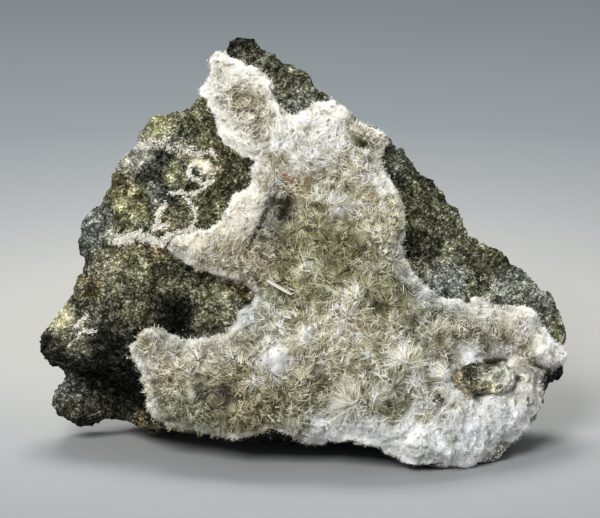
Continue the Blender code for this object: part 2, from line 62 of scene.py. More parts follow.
# How the stone stands, as the solids do: leant back, with the middle of its base at the origin
LEAN_BACK = math.radians(14)
BASE_MIDDLE = 20.0
FLOOR_DROP = 3.1
FACE_TO_WORLD = (
    Matrix.Scale(MM, 4)
    @ Matrix.Translation((0.0, -BASE_MIDDLE, -FLOOR_DROP))
    @ Euler((math.pi / 2 - LEAN_BACK, 0.0, 0.0)).to_matrix().to_4x4()
)
WORLD_TO_FACE = FACE_TO_WORLD.inverted()

# The camera looks straight at the face. In the photograph a millimetre is 5 pixels, the face
# frame's origin is at ORIGIN_PIXEL, and the middle of the picture at MIDDLE_PIXEL.
PICTURE_WIDTH = 600
PIXELS_PER_MM = 5.0
ORIGIN_PIXEL = (300, 467)
MIDDLE_PIXEL = (300, 259)
CAMERA_DISTANCE = 1.2
SENSOR_WIDTH = 36.0

# Light: a soft lamp above and behind the stone, a broader one far in front of it, above and to
# the left, and pale grey surroundings. Each lamp has a place and a size in metres and its power
# in watts.
LAMPS = {
    "overhead": ((-0.05, 0.20, 0.53), 0.28, 2.6),
    "front": ((-0.28, -0.85, 0.68), 0.42, 12.6),
}
ROOM_COLOUR = "c4c8ca"
ROOM_STRENGTH = 0.50
FLOOR_RADIUS = 6.0

# The floor's colour by the distance in metres from a middle behind the stone, with a painted pool of
# light: pale in the middle and grey further out
PAINTED_LIGHT_MIDDLE = (0.0, 0.08)
FLOOR_PAINTED_LIGHT_COLOURS = [
    (0.0, "b0aea8"), (0.07, "aaa9a5"), (0.12, "979a9b"), (0.15, "8f9294"), (0.20, "82888b"),
    (0.42, "747b7f"),
]

# How softly what sticks out of the solids' box is pressed back, in millimetres
BOX_SOFTNESS = 0.8

# Fineness of the meshes in millimetres, and how many times each is then smoothed
STONE_VOXEL = 0.66
STONE_SMOOTHING = 4
CRUST_VOXEL = 0.6
CRUST_SMOOTHING = 6

# Each pattern of noise is read this far from the one before it, and these seeds fix what is
# drawn at random
NOISE_SHIFT = (7.3, 2.9, 5.1)
STONE_SEED = 5
GRAIN_SEED = 31
NEEDLE_SEED = 12

# How far in front of the face a look straight at it starts, in millimetres, and how much a
# surface has to face the front to be seen in it
LOOK_START = 100.0
LEAST_FACING = 0.05

# The stone's fine relief: size and height of the lumps, size and lean of the chips, and how
# far single points stand out. CHIP_SHUFFLE gives each chip a lean of its own, and the relief
# fades out over the last BASE_BLEND above the flat base.
STONE_LUMPS = [(6.5, 0.9), (3.0, 0.6), (1.5, 0.35), (0.8, 0.16)]
STONE_CHIPS = [(6.0, 0.22), (2.6, 0.30)]
STONE_GRAIN = 0.14
CHIP_SHUFFLE = 9.7
BASE_BLEND = 1.2

# Where the outline of the stone and of the crust is drawn in or out: X, Y and reach, and how
# far across and up
STONE_DENTS = {
    "below the right tip": (53.0, 14.0, 3.6, -0.9, 0.0),
    "right tip": (54.0, 19.0, 2.6, -1.6, 0.2),
    "right shoulder": (47.5, 36.0, 6.0, 1.2, 1.2),
    "slope edge": (31.0, 50.4, 3.0, 0.9, 0.9),
    "upper slope": (25.6, 58.0, 2.6, -0.9, -0.9),
    "ridge": (0.0, 78.4, 4.0, 0.8, 1.1),
    "ridge top": (-2.8, 81.0, 2.4, 0.5, 0.6),
    "ridge end": (3.4, 77.2, 2.2, -0.6, -0.6),
    "saddle": (12.6, 70.2, 3.6, -0.9, -1.0),
    "middle slope": (37.0, 46.0, 3.0, -0.3, -0.4),
    "right end": (52.4, 28.6, 3.0, 0.6, 0.2),
    "black corner": (52.6, 18.6, 1.8, 0.9, 0.0),
    "lower knob": (-48.0, 10.6, 3.0, -0.5, -0.6),
}
CRUST_DENTS = {
    "arm tip": (-19.0, 77.4, 3.0, 1.3, -0.1),
    "saddle": (12.6, 70.6, 4.2, -1.1, -1.4),
    "below the right tip": (50.8, 17.2, 2.7, -4.8, 0.2),
    "right notch": (51.8, 27.2, 2.2, -1.5, -0.2),
    "right arm top": (38.0, 35.4, 5.0, 0.0, -1.7),
    "right arm start": (31.0, 36.0, 3.0, 0.0, -0.6),
    "right arm far top": (43.0, 32.6, 2.6, 0.0, -0.6),
}

# Grains in the stone's colour: how far apart they are, how rare the bright ones are, how dark
# and bright they come, how colourful the dark and the bright ones are, and their height
GRAIN_SPACING = 0.36
GRAIN_RARITY = 2.6
GRAIN_LIGHT = (0.2, 3.3)
GRAIN_COLOUR = (1.3, 0.45)
GRAIN_HEIGHT = 0.25

# Clumps of such grains: size, how dark and bright they come, and between which values of their
# noise. BREAK_SIZE and BREAK_HEIGHT are of the fine steps in which the stone broke.
CLUMP_SIZE = 1.1
CLUMP_LIGHT = (0.12, 1.85)
CLUMP_RANGE = (0.32, 0.68)
BREAK_SIZE = 0.9
BREAK_HEIGHT = 0.6

# How much calmer the grains are where the stone is pale and how calm they get, how far tints
# stray from their places and in bends of what size, size and strength of lighter and darker
# patches, and how far back the white veins reach
PALE_STONE_CALM = 1.6
CALMEST_GRAINS = 0.2
TINT_STRAY = (1.2, 3.0)
STONE_PATCHES = [(4.0, 0.9), (1.8, 1.2)]
VEINS_BACK = -14.0

# Where the back of the stone starts and over what depth it does, and how much the stone's
# default colour counts on the face and how much more at the back
BACK_START = -12.0
BACK_FADE = 8.0
DEFAULT_WEIGHT = (0.02, 4.0)

# The crust's bed under the needles: size and height of its lumps, how far its upright sides
# are widened, and size and height of their raggedness
BED_LUMPS = [(4.0, 0.45), (1.6, 0.35), (0.8, 0.15)]
BED_WIDENING = 0.6
BED_RAGGEDNESS = [(1.9, 0.65), (0.8, 0.35)]

# The bed's rim: how wide its white band is and in bends of what size it is ragged, over what
# width it sinks towards the stone, how far, where between these depths it usually is and how
# much that changes, and the size of the stretches in which it sinks alike. It is found in
# RIM_STEPS points along each upright side of the crust, which is a face that has an edge
# shorter than UPRIGHT_EDGE, seen from the front.
RIM_WIDTH = 1.3
RIM_RAGGEDNESS = 2.5
RIM_FADE = 2.4
RIM_SINK = (0.4, 1.9)
RIM_SINK_USUAL = 0.5
RIM_SINK_CHANGE = 0.9
RIM_STRETCH = 5.0
RIM_STEPS = 8
UPRIGHT_EDGE = 0.01

# Hollows sunk deeper than in the solids: line, depth and half width in millimetres
DEEP_HOLLOWS = {
    "crack": ([(-10.2, 43.8), (-8.6, 47.0), (-6.8, 50.8), (-5.4, 53.2), (-4.2, 55.6)], 2.0, 0.32),
    "slot": ([(-3.4, 49.8), (-2.1, 53.4)], 2.4, 0.8),
    "upper ledge streak": ([(-13.8, 50.8), (-12.4, 52.6)], 0.7, 0.25),
    "outer ledge streak": ([(-17.2, 44.0), (-15.8, 43.4)], 0.6, 0.3),
    "lower ledge streak": ([(-16.2, 40.3), (-14.2, 40.8)], 0.7, 0.25),
    "inner ledge streak": ([(-11.6, 43.2), (-10.4, 41.7)], 0.9, 0.3),
    "ledge root streak": ([(-8.4, 43.4), (-7.6, 42.2)], 1.1, 0.35),
    "slit": ([(2.6, 52.2), (4.4, 51.4)], 1.6, 0.6),
    "pocket slot": ([(36.8, 21.4), (40.6, 21.4)], 1.7, 0.55),
    "right crack": ([(45.6, 21.2), (47.8, 20.0), (49.8, 19.4)], 1.8, 0.35),
    "saddle pit": ([(11.6, 68.4), (12.0, 67.8)], 1.2, 0.5),
    "middle saddle pit": ([(9.6, 67.4), (10.2, 66.6)], 1.0, 0.5),
    "lower saddle pit": ([(11.8, 65.0), (12.8, 64.4)], 1.6, 0.7),
}

# Small openings between the sprays, which the painted shade of the hollows darkens to olive: X, Y, reach
# and depth
OPENINGS = [
    (-2.0, 29.0, 0.8, 1.2), (-3.4, 32.4, 1.2, 0.5), (16.0, 32.8, 1.7, 1.1), (17.0, 30.2, 1.1, 0.8),
    (4.0, 16.8, 1.3, 1.2), (3.0, 18.4, 1.1, 0.8), (9.2, 19.6, 1.2, 1.0), (17.6, 13.0, 0.7, 1.4),
    (16.2, 11.2, 0.6, 1.4), (21.4, 13.8, 0.8, 1.1), (25.0, 24.0, 0.7, 1.0), (27.6, 25.4, 1.0, 0.7),
    (30.0, 6.0, 0.8, 0.9), (26.6, 30.4, 0.5, 0.9), (15.4, 24.4, 0.9, 0.8), (-13.8, 13.4, 1.3, 1.0),
    (-7.6, 12.8, 1.1, 1.0), (-14.4, 16.4, 1.1, 0.8), (-10.4, 19.4, 1.0, 0.7), (-10.0, 23.0, 0.6, 0.6),
    (-25.6, 17.8, 0.5, 1.0), (-30.2, 24.4, 0.8, 0.6), (-24.4, 12.4, 0.8, 0.6), (9.2, 48.4, 1.1, 1.1),
    (11.8, 43.4, 1.0, 0.7), (-3.0, 44.4, 1.1, 0.8), (-2.0, 41.0, 1.0, 0.7), (-5.2, 41.2, 0.9, 0.6),
    (9.0, 39.0, 0.9, 0.7), (12.2, 37.2, 0.7, 0.8), (18.0, 36.8, 0.5, 0.7), (-12.8, 74.4, 1.0, 0.7),
    (-10.4, 74.3, 0.6, 0.6), (-8.6, 74.6, 0.6, 0.6), (-10.4, 71.8, 1.0, 0.7), (-13.0, 72.6, 0.8, 0.7),
    (-9.0, 66.4, 0.8, 0.6), (-6.4, 65.6, 0.5, 0.9), (2.2, 64.4, 0.6, 0.7), (13.0, 66.8, 0.4, 1.0),
    (6.4, 58.0, 0.6, 0.8), (11.4, 54.0, 0.7, 1.0), (13.2, 54.6, 0.8, 0.6), (20.0, 46.8, 0.9, 0.7),
    (-19.0, 15.0, 1.2, 0.8), (6.0, 9.8, 0.8, 0.5), (37.0, 26.4, 1.0, 0.6), (40.4, 25.6, 1.0, 0.7),
    (33.2, 26.6, 0.9, 0.6), (44.6, 24.0, 0.8, 0.6), (24.0, 10.6, 1.3, 0.8), (19.6, 15.6, 1.2, 0.8),
]

# Painted shade in the hollows, openings and specks: how fast red, green and blue darken with each
# millimetre of such depth
HOLLOW_PAINTED_SHADE = (0.85, 0.90, 1.20)

# Dark specks between the needles, painted shade of small pits that the crust does not have: size, how
# strong the noise must be there, how soft their edges are, and how deep they look
PAINTED_SHADE_SPECKS = (0.9, 0.34, 0.22, 1.1)

# The pocket, where the crust is missing and the stone shows: middle and half sizes, how far the
# crust sinks and the stone rises in it, and how soft its edge is and in what size it is ragged
POCKET_MIDDLE = (36.6, 17.8)
POCKET_HALF = (7.2, 3.4)
POCKET_DEPTH = 5.0
POCKET_RISE = 3.2
POCKET_EDGE = 0.22
POCKET_RAGGEDNESS = 1.8

# The rim around the pocket: how far out it lies, its width as a share of the way from the
# pocket's middle, and its height
POCKET_RIM = (0.3, 0.12, 0.7)

# Where the crust has no needles: X, Y and reach in millimetres
BARE_PATCHES = [(46.0, 17.2, 1.8), (46.4, 13.6, 1.8), (43.6, 13.2, 1.2)]

# Rusty spots on the crust: X, Y and reach in millimetres, their colour, how strongly they cover
# and how much of the crust they cover at most
RUST_SPOTS = [
    (-2.8, 58.0, 0.7), (-1.6, 57.2, 0.5), (1.2, 57.2, 0.5), (11.6, 28.2, 0.35), (16.4, 44.8, 0.4),
    (-3.6, 61.6, 0.4), (14.4, 54.0, 0.4),
]
RUST = "8a5f14"
RUST_STRENGTH = 1.2
RUST_MOST = 0.8

# Local colour of the stone: X, Y and reach in millimetres, and colour. Some are painted shade or painted
# highlight, as marked among them.
STONE_TINTS = {
    "peak": (-10.0, 84.0, 5.0, "2f3024"),
    "ridge": (0.0, 76.5, 6.0, "4a4a36"),
    "upper ridge": (-6.0, 81.4, 2.4, "6a6a53"),
    "ridge foot": (0.0, 73.4, 2.2, "85887a"),
    # Khaki along the crust's edge, lightened as a painted highlight on the ridge's lit top
    "ridge by the crust": (-9.6, 79.4, 2.6, "6d6c54"),
    "ridge end": (5.0, 71.5, 3.0, "5b5a45"),
    # Painted highlight along the lit edge of the ridge, over its khaki colour
    "ridge edge": (-1.6, 79.6, 1.6, "757254"),
    "ridge edge low": (3.4, 75.8, 1.4, "757254"),
    "upper left": (-24.0, 69.0, 4.0, "5e5d42"),
    "pointed patch": (-28.6, 68.0, 2.2, "b0ae7c"),
    "under the point": (-29.0, 65.0, 1.8, "85826f"),
    "beside the point": (-24.6, 65.0, 1.8, "a39f86"),
    "upper left black": (-27.4, 62.2, 2.0, "2d2f29"),
    "left grey edge": (-33.2, 61.6, 2.4, "8d8a7c"),
    "black at the left": (-30.4, 57.8, 2.0, "1e2019"),
    "between the blacks": (-24.6, 59.4, 1.8, "6b6949"),
    "edge khaki": (-36.0, 57.4, 2.0, "57502f"),
    "beside the arm": (-17.0, 67.0, 3.4, "5d5a38"),
    "below the arm": (-14.4, 60.0, 3.0, "4f4d30"),
    "tan patch": (-18.4, 59.8, 1.4, "c8bea2"),
    "black in the hook": (-20.8, 58.8, 0.9, "1d1e18"),
    "blue grey bit": (-29.2, 53.6, 1.6, "5a5d55"),
    "black under the vein": (-26.4, 53.4, 1.3, "1d1f18"),
    "inside the veins": (-24.4, 50.4, 2.0, "646143"),
    "right of the vein": (-18.0, 52.0, 3.0, "4d4c31"),
    "shoulder olive": (-34.0, 52.0, 3.0, "8a8656"),
    "black shoulder": (-37.4, 50.6, 1.6, "22241c"),
    "dark by the patch": (-31.6, 48.6, 1.6, "35372f"),
    "left knob": (-41.4, 48.0, 3.2, "6a6e64"),
    "left knob rim": (-44.2, 45.4, 2.0, "2b2d28"),
    "band above the block": (-36.0, 42.6, 3.0, "615f3d"),
    "block top": (-30.0, 41.6, 3.4, "625f3e"),
    "block top right": (-22.0, 40.6, 3.4, "4f4d35"),
    "block corner": (-38.4, 39.4, 2.0, "a39c80"),
    "block edge ochre": (-41.4, 35.6, 1.6, "786b40"),
    "block top ochre": (-27.6, 43.4, 1.0, "8f6a2e"),
    "block middle": (-36.0, 36.0, 4.6, "5f5e43"),
    "block middle right": (-29.6, 36.6, 3.0, "55533a"),
    "block dark spot": (-26.0, 32.4, 3.2, "0b0c08"),
    "block dark foot": (-25.0, 28.6, 2.4, "12130e"),
    "block black": (-40.2, 30.4, 2.6, "434438"),
    "block black foot": (-38.2, 27.4, 2.4, "3d3e32"),
    "block right": (-18.0, 34.4, 3.6, "69684e"),
    "block far right": (-14.0, 36.4, 2.0, "77704e"),
    "recess ochre": (-11.2, 36.8, 1.6, "6c5c2e"),
    # Painted shadow under the ledge
    "painted shadow under the ledge": (-13.0, 37.0, 1.0, "1c1c13"),
    "left tip": (-50.0, 24.0, 3.4, "28291f"),
    "tip patch": (-47.4, 28.6, 1.9, "b8b288"),
    "tip middle": (-45.0, 24.6, 2.4, "5a5a46"),
    # Painted shade: the block's underside, the recess and the undercut below it, in the next seven, are
    # darkened as the shadow of the overhang
    "block edge": (-38.0, 23.4, 3.0, "101009"),
    "block edge right": (-32.0, 23.4, 3.0, "2a2b20"),
    "recess": (-36.0, 15.0, 4.0, "0a0a07"),
    "undercut left": (-44.6, 19.4, 1.6, "14140e"),
    "undercut": (-40.0, 18.0, 2.2, "0d0d09"),
    "undercut right": (-34.4, 16.4, 2.4, "0a0a07"),
    "undercut foot": (-30.0, 12.0, 2.0, "11110c"),
    "lower knob": (-42.4, 12.6, 5.0, "3d3d2e"),
    "lower knob top": (-46.0, 15.6, 2.0, "85877a"),
    "knob ochre": (-31.6, 9.2, 1.8, "6a5c38"),
    "upper slope": (20.0, 62.0, 5.0, "4f5141"),
    "slope": (25.0, 52.0, 6.0, "4b4c32"),
    "slope edge": (30.0, 50.0, 3.0, "61624d"),
    # Painted shadow on the slope
    "slope shadow": (25.0, 50.4, 2.0, "2b2c1b"),
    "slope light": (31.0, 43.4, 2.0, "8f8e70"),
    "shelf black": (40.0, 40.4, 2.8, "11120b"),
    # Painted shade below the hump of the slope
    "painted shade below the hump": (24.0, 46.0, 3.0, "24251a"),
    "slope middle": (31.0, 46.0, 4.0, "6e6d51"),
    "slope shelf": (38.0, 41.0, 5.0, "636343"),
    "shelf dark": (36.6, 39.0, 2.0, "24251a"),
    "slope end": (48.0, 34.0, 6.0, "787a6a"),
    "slope by the crust": (30.0, 37.4, 2.4, "727870"),
    "shelf by the crust": (41.0, 36.4, 2.6, "757b73"),
    "right tip": (52.0, 27.0, 2.6, "80805c"),
    "right edge": (53.0, 31.4, 2.2, "45463a"),
    "black corner": (50.6, 17.0, 1.7, "12120d"),
    "pocket black": (33.6, 18.4, 1.3, "26271e"),
    "pocket slot": (38.8, 21.0, 1.5, "27281c"),
    "pocket left": (30.4, 18.2, 1.3, "b5a677"),
    "pocket foot": (32.4, 15.8, 1.9, "bdb08c"),
    "pocket middle": (36.4, 18.6, 1.2, "c9c2a6"),
    "pocket low right": (38.8, 15.6, 1.0, "6c6852"),
    "pocket green": (40.2, 18.8, 1.8, "8f937e"),
    "pocket middle foot": (36.4, 15.8, 1.6, "b3a988"),
    "pocket streak": (43.2, 20.0, 1.2, "5f6450"),
    "pocket right": (44.2, 17.0, 3.0, "f0eee6"),
    "foot": (38.0, 3.0, 5.0, "a3a49a"),
    # The rock's dark underside, made darker still as painted shade under the overhanging front lip
    "front foot": (5.0, 5.0, 12.0, "16160f"),
}

# The stone's colour away from all of these
STONE_DEFAULT = "504f3c"

# White veins and patches of fine mordenite grains on the bare stone: line, half width, and how
# full of grains they are
VEINS = {
    "main vein": (
        [(-25.9, 54.4), (-23.4, 55.1), (-22.4, 53.2), (-21.2, 51.8), (-20.8, 50.2), (-21.2, 48.4),
         (-22.8, 46.8), (-25.2, 44.6)], 0.2, 1.9),
    "vein branch": ([(-22.4, 54.8), (-20.0, 55.2), (-18.6, 56.4), (-17.2, 57.0)], 0.15, 1.7),
    "hook": ([(-20.4, 61.4), (-22.2, 59.6), (-22.0, 57.8), (-19.6, 56.8)], 0.22, 1.8),
    "tan patch border": ([(-20.6, 62.8), (-18.0, 63.2), (-16.8, 62.0)], 0.3, 0.9),
    "upper band": ([(-33.0, 64.8), (-29.0, 64.8), (-24.4, 63.8), (-20.4, 62.6)], 0.7, 0.5),
    "patch edge": ([(-29.2, 47.8), (-28.2, 50.2), (-27.0, 52.6)], 0.34, 1.1),
    "patch foot": ([(-29.2, 47.8), (-27.6, 48.4), (-26.2, 48.6)], 0.25, 0.8),
    "white root": ([(-26.4, 45.4), (-24.0, 46.0), (-20.4, 46.2)], 1.2, 1.3),
    "lower patch": ([(-36.4, 45.4), (-32.2, 46.2), (-28.2, 44.8)], 0.9, 1.1),
    "tip crystals": ([(-45.2, 28.2), (-43.4, 30.0), (-42.2, 30.6)], 0.12, 1.0),
    "tip crystals low": ([(-44.6, 26.6), (-42.6, 27.6), (-40.6, 27.2)], 0.15, 0.8),
    "slope speckle": ([(20.6, 41.0), (30.0, 38.0), (40.0, 36.4), (48.0, 34.6)], 1.5, 0.06),
    "ridge speckle": ([(-5.0, 73.6), (-1.0, 72.4), (3.0, 70.8)], 1.0, 0.06),
    "foot speckle": ([(36.6, 4.4), (42.6, 2.6)], 1.6, 0.3),
    "pocket speckle": ([(40.4, 21.4), (42.4, 17.4), (40.0, 15.6)], 1.2, 0.35),
}

# Their colour, how far apart the grains painted in them are, how soft the edges of the veins and
# of these grains are, how far the veins wind and in bends of what size, how much of the stone
# they cover at most, and how many grains stand on a square millimetre and of what size
VEIN_WHITE = "e4dfd2"
VEIN_GRAIN_SPACING = 0.3
VEIN_EDGE = 0.24
VEIN_GRAIN_EDGE = 0.15
VEIN_WINDING = (0.5, 1.6)
VEIN_COVER = 0.9
GRAINS_PER_SQUARE = 30
GRAIN_SIZE = (0.06, 0.15)

# How unlike those grains are in length from side to side, their lights, and the brightest colour
GRAIN_UNEVENNESS = (0.7, 1.3)
WHITE_GRAIN_LIGHT = (0.6, 1.1)
BRIGHTEST_GRAIN = 0.92

# Grains of the crust strewn on the stone beside it: how many tries and how far they reach
STREWN_TRIES = 9000
STREWN_REACH = 0.6

# Local colour of the crust: X, Y and reach in millimetres, colour, and how woolly it is, from
# 0 for open sprays over dark gaps to 1 for a felt of short white needles
CRUST_TINTS = {
    "arm tip": (-16.6, 79.0, 3.0, "d6d2c4", 0.7),
    "arm": (-12.0, 73.0, 3.0, "b0a78e", 0.1),
    "arm low": (-9.0, 69.0, 3.0, "c4bca6", 0.15),
    "arm upper edge": (-13.4, 79.4, 2.0, "e6e2d8", 0.95),
    "arm right edge": (-8.4, 77.2, 1.8, "e6e2d8", 0.95),
    "arm left corner": (-17.6, 73.8, 1.6, "f4f0e6", 0.9),
    "arm left edge": (-15.6, 69.0, 2.2, "f6f3ea", 0.95),
    "arm foot edge": (-12.6, 65.2, 2.2, "f8f5ec", 1.0),
    "arm foot": (-9.0, 62.6, 2.2, "ebe8df", 0.9),
    "upper": (2.0, 66.0, 6.0, "f3efe4", 0.35),
    "saddle": (8.0, 70.5, 3.2, "e9e5dd", 1.0),
    "saddle grey": (9.2, 68.8, 1.1, "8e8e84", 0.5),
    "saddle hole": (11.8, 64.8, 1.3, "77755c", 0.3),
    "below the arm": (-6.0, 60.4, 2.2, "bab299", 0.35),
    "below the saddle": (0.0, 56.4, 2.2, "c2b593", 0.15),
    "upper right edge": (16.4, 56.4, 1.8, "f6f3ea", 0.9),
    "upper middle": (10.0, 59.0, 6.0, "d2cbb2", 0.15),
    "upper right": (17.0, 49.4, 4.0, "c9c2a0", 0.0),
    "ledge top": (-13.0, 49.6, 3.4, "e8e2d4", 1.0),
    "ledge tip": (-20.0, 44.4, 2.0, "e6e0d0", 0.7),
    "ledge": (-16.0, 43.6, 4.0, "b8b098", 0.6),
    "ledge root": (-10.0, 41.0, 3.0, "9d957b", 0.25),
    "slot": (-2.8, 51.6, 1.8, "5d5a45", 0.1),
    "beside the crack": (-6.0, 50.0, 1.4, "b9bab2", 0.8),
    "below the slot": (-5.6, 46.4, 2.2, "605c45", 0.2),
    "centre": (6.0, 40.0, 7.0, "928e64", 0.0),
    "centre olive": (9.0, 44.4, 2.4, "676235", 0.0),
    "centre right": (18.0, 35.0, 4.6, "827f5a", 0.0),
    "middle haze": (2.6, 39.8, 2.4, "a9a98e", 0.5),
    "right haze": (14.0, 39.0, 2.0, "c2bda2", 0.4),
    "left column": (-6.0, 31.4, 2.2, "b9b8a1", 0.3),
    "small olive gap": (13.4, 33.6, 1.6, "5f5c3a", 0.0),
    "olive gap": (16.4, 32.8, 2.0, "807d56", 0.0),
    "centre low": (10.0, 27.0, 7.0, "c2bca0", 0.25),
    "belly": (-7.0, 13.0, 6.0, "968f6c", 0.0),
    "belly left": (-15.0, 13.4, 2.2, "625c3b", 0.0),
    "belly far right": (18.0, 11.6, 2.0, "96916d", 0.0),
    "belly right": (10.0, 15.0, 6.0, "a8a48b", 0.05),
    "left lobe": (-26.0, 19.0, 5.0, "b2a98f", 0.15),
    "left lobe olive": (-20.0, 16.4, 2.2, "69623f", 0.0),
    "left lobe low": (-23.0, 12.0, 5.0, "878467", 0.0),
    "left lobe margin": (-25.0, 25.0, 2.4, "a9aca4", 0.7),
    "left lobe side": (-31.4, 20.0, 1.8, "dcdbd5", 0.9),
    "left lobe foot": (-29.0, 12.0, 1.6, "c6c2b4", 0.7),
    "margin": (-15.0, 25.4, 2.8, "aaa592", 0.35),
    "margin top": (-10.6, 31.0, 2.0, "a8aeaa", 0.6),
    "right arm": (27.0, 27.0, 5.0, "a4a086", 0.0),
    "right arm middle": (33.0, 27.4, 2.6, "9c977d", 0.1),
    "right arm inside": (39.0, 26.2, 2.4, "b6ae96", 0.15),
    "right arm end": (44.4, 25.4, 2.8, "d2c9b4", 0.2),
    "right arm top start": (25.0, 34.6, 2.2, "b4baba", 0.9),
    "right arm top": (31.0, 32.6, 2.2, "babdba", 1.0),
    "right arm top middle": (37.0, 31.4, 2.2, "ccc9c0", 1.0),
    "right arm far top": (42.6, 30.2, 1.8, "d4cfc4", 1.0),
    "right arm far end": (48.6, 24.0, 1.8, "f8f5ee", 1.0),
    "right arm shoulder": (47.6, 27.6, 1.8, "f6f6f0", 1.0),
    "right rim": (21.4, 39.0, 2.0, "e9eeee", 0.9),
    "right rim up": (19.6, 45.0, 1.8, "d9d8d0", 0.7),
    "big spray": (27.0, 15.0, 4.0, "f4f1e2", 0.0),
    "beside the pocket": (23.0, 19.0, 3.0, "bdb9a2", 0.0),
    "bottom left": (-2.0, 8.4, 1.6, "c6c3b4", 0.5),
    "bottom start": (5.4, 8.4, 2.4, "ffffff", 1.0),
    "bottom rise": (9.0, 9.4, 2.0, "fdfdfc", 1.0),
    "bottom": (14.0, 7.0, 3.0, "fbfbf9", 1.0),
    "bottom middle": (22.0, 6.4, 3.4, "f5f5f3", 1.0),
    "bottom grey": (24.0, 3.4, 1.8, "c3c5c0", 0.8),
    "bottom right": (32.0, 4.0, 5.0, "e9ecec", 0.95),
    "pocket margin": (46.4, 15.0, 3.0, "dcdad0", 1.0),
    "pocket foot": (37.0, 12.6, 2.4, "f4f4f1", 0.9),
    "bottom far right": (40.0, 9.2, 2.0, "cbcecd", 0.9),
    "foot of the margin": (44.0, 9.6, 2.4, "f4f5f4", 1.0),
    "pocket left rim": (28.8, 17.4, 1.7, "fbfdfe", 1.0),
    "pocket low rim": (31.2, 13.6, 1.7, "fbfdfe", 1.0),
    "pocket top": (33.0, 23.2, 1.8, "ffffff", 1.0),
    "pocket far top": (40.0, 22.4, 1.8, "ffffff", 1.0),
    "cotton ball": (-4.8, 21.2, 2.2, "f0efea", 1.0),
    "small balls": (1.4, 26.2, 1.2, "f0efea", 1.0),
}

# The white of the crust's edge, how far the crust's own colour gives way to it there, how much
# it counts among the colours above, and size and strength of the patches in which the crust is
# more or less woolly
RIM_WHITE = "f4f1ea"
RIM_WHITENESS = 0.6
RIM_WEIGHT = 0.001
WOOL_PATCHES = (3.0, 0.55)

# The bed's colour between the needles: the power that deepens it, how dark it is in the gaps and on the
# domes of the sprays, as painted shade that is darkest in the creases between the domes, the powers and
# the noise of its fine mottling, and the size and height of its fibres
GAP_DEPTH_OF_COLOUR = 1.3
GAP_SHADE = 0.30
DOME_SHADE = 0.55
BED_MOTTLING = (0.72, 1.6)
MOTTLING_RANGE = (0.3, 0.7)
FIBRE_SIZE = 0.35
FIBRE_HEIGHT = 0.2

# Light and dark patches like brushed velvet: size and strength, how much fainter they are where
# the crust is woolly, and how much more green and blue change with them than red does
VELVET_PATCHES = [(4.5, 0.5), (1.8, 1.0), (0.8, 1.0)]
VELVET_LOST_IN_WOOL = 0.75
VELVET_HUE = (0.0, 0.03, 0.28)

# How bright needles and fuzz are, the power that makes needles paler than the bed, and the
# brightest colour that they can have
NEEDLE_GAIN = 1.24
FUZZ_GAIN = 1.06
NEEDLE_PALENESS = 0.8
BRIGHTEST_NEEDLE = 0.95

# Places on the bed are drawn at random, up to this far from the middles of its faces
PLACE_STRAY = 0.2

# Sprays: least and most reach, how close they stand as a share of their reaches, how many places
# are tried, how far they tilt, and the depth of the hollows that they stay out of. SPRAY_VARIETY
# tells how far up the range of reaches they usually are, and how much that changes from region
# to region, in regions of what size, and from one spray to the next. SPRAY_EDGE is their size at
# the crust's edge and the width over which they grow to their full size.
SPRAY_REACH = (1.8, 4.2)
SPRAY_SPACING = 0.43
SPRAY_TRIES = 16000
SPRAY_TILT = 0.8
DEEPEST_SPRAY = 0.6
SPRAY_VARIETY = (0.45, 0.9, 5.0, 0.3)
SPRAY_EDGE = (0.45, 3.5)
SPRAY_SIZE_LOST_IN_WOOL = 0.45
SPRAY_LIGHT = (0.8, 1.2)

# Each spray stands on a dome. Its radius, in the open and in wool, and the depth of its middle
# are shares of the spray's reach. Nothing further than DOME_HEIGHT in front of or behind a
# spray's or a ball's foot is lifted.
DOME_SHARE = 0.36
WOOLLY_DOME_SHARE = 0.35
SPRAY_SINK = 0.34
DOME_HEIGHT = 3.0

# Needles grow in bundles: how many bundles a spray would have at a reach of 1 mm, which grows
# with the square of the reach, how many are lost in wool, their lengths and lights, how many
# needles each has, and how far these spread
BUNDLES_PER_SQUARE = 8
BUNDLES_LOST_IN_WOOL = 0.85
BUNDLE_LENGTH = (0.7, 1.12)
BUNDLE_LIGHT = (0.5, 1.5)
NEEDLES_PER_BUNDLE = 3
BUNDLE_SPREAD = 0.05

# Needles: width, length and light beside their bundle's, and how far along its way each starts.
# The higher LOW_LYING is, the more of them lie low, down to SPRAY_LEAST_LIFT.
NEEDLE_WIDTH = (0.05, 0.12)
NEEDLE_LENGTH = (0.75, 1.08)
NEEDLE_LIGHT = (0.9, 1.1)
NEEDLE_START = (0.08, 0.40)
LOW_LYING = 1.1
SPRAY_LEAST_LIFT = 0.12

# Needles let light through, so they are shaded mostly as the surface that they stand on, drawn
# towards the front by FRONT_SHARE. SPRAY_ROUNDNESS tells how much of a needle's own way shows in
# that, and NEEDLE_ROUNDNESS how much of its own roundness.
FRONT_SHARE = 0.6
SPRAY_ROUNDNESS = 0.3
NEEDLE_ROUNDNESS = 0.45

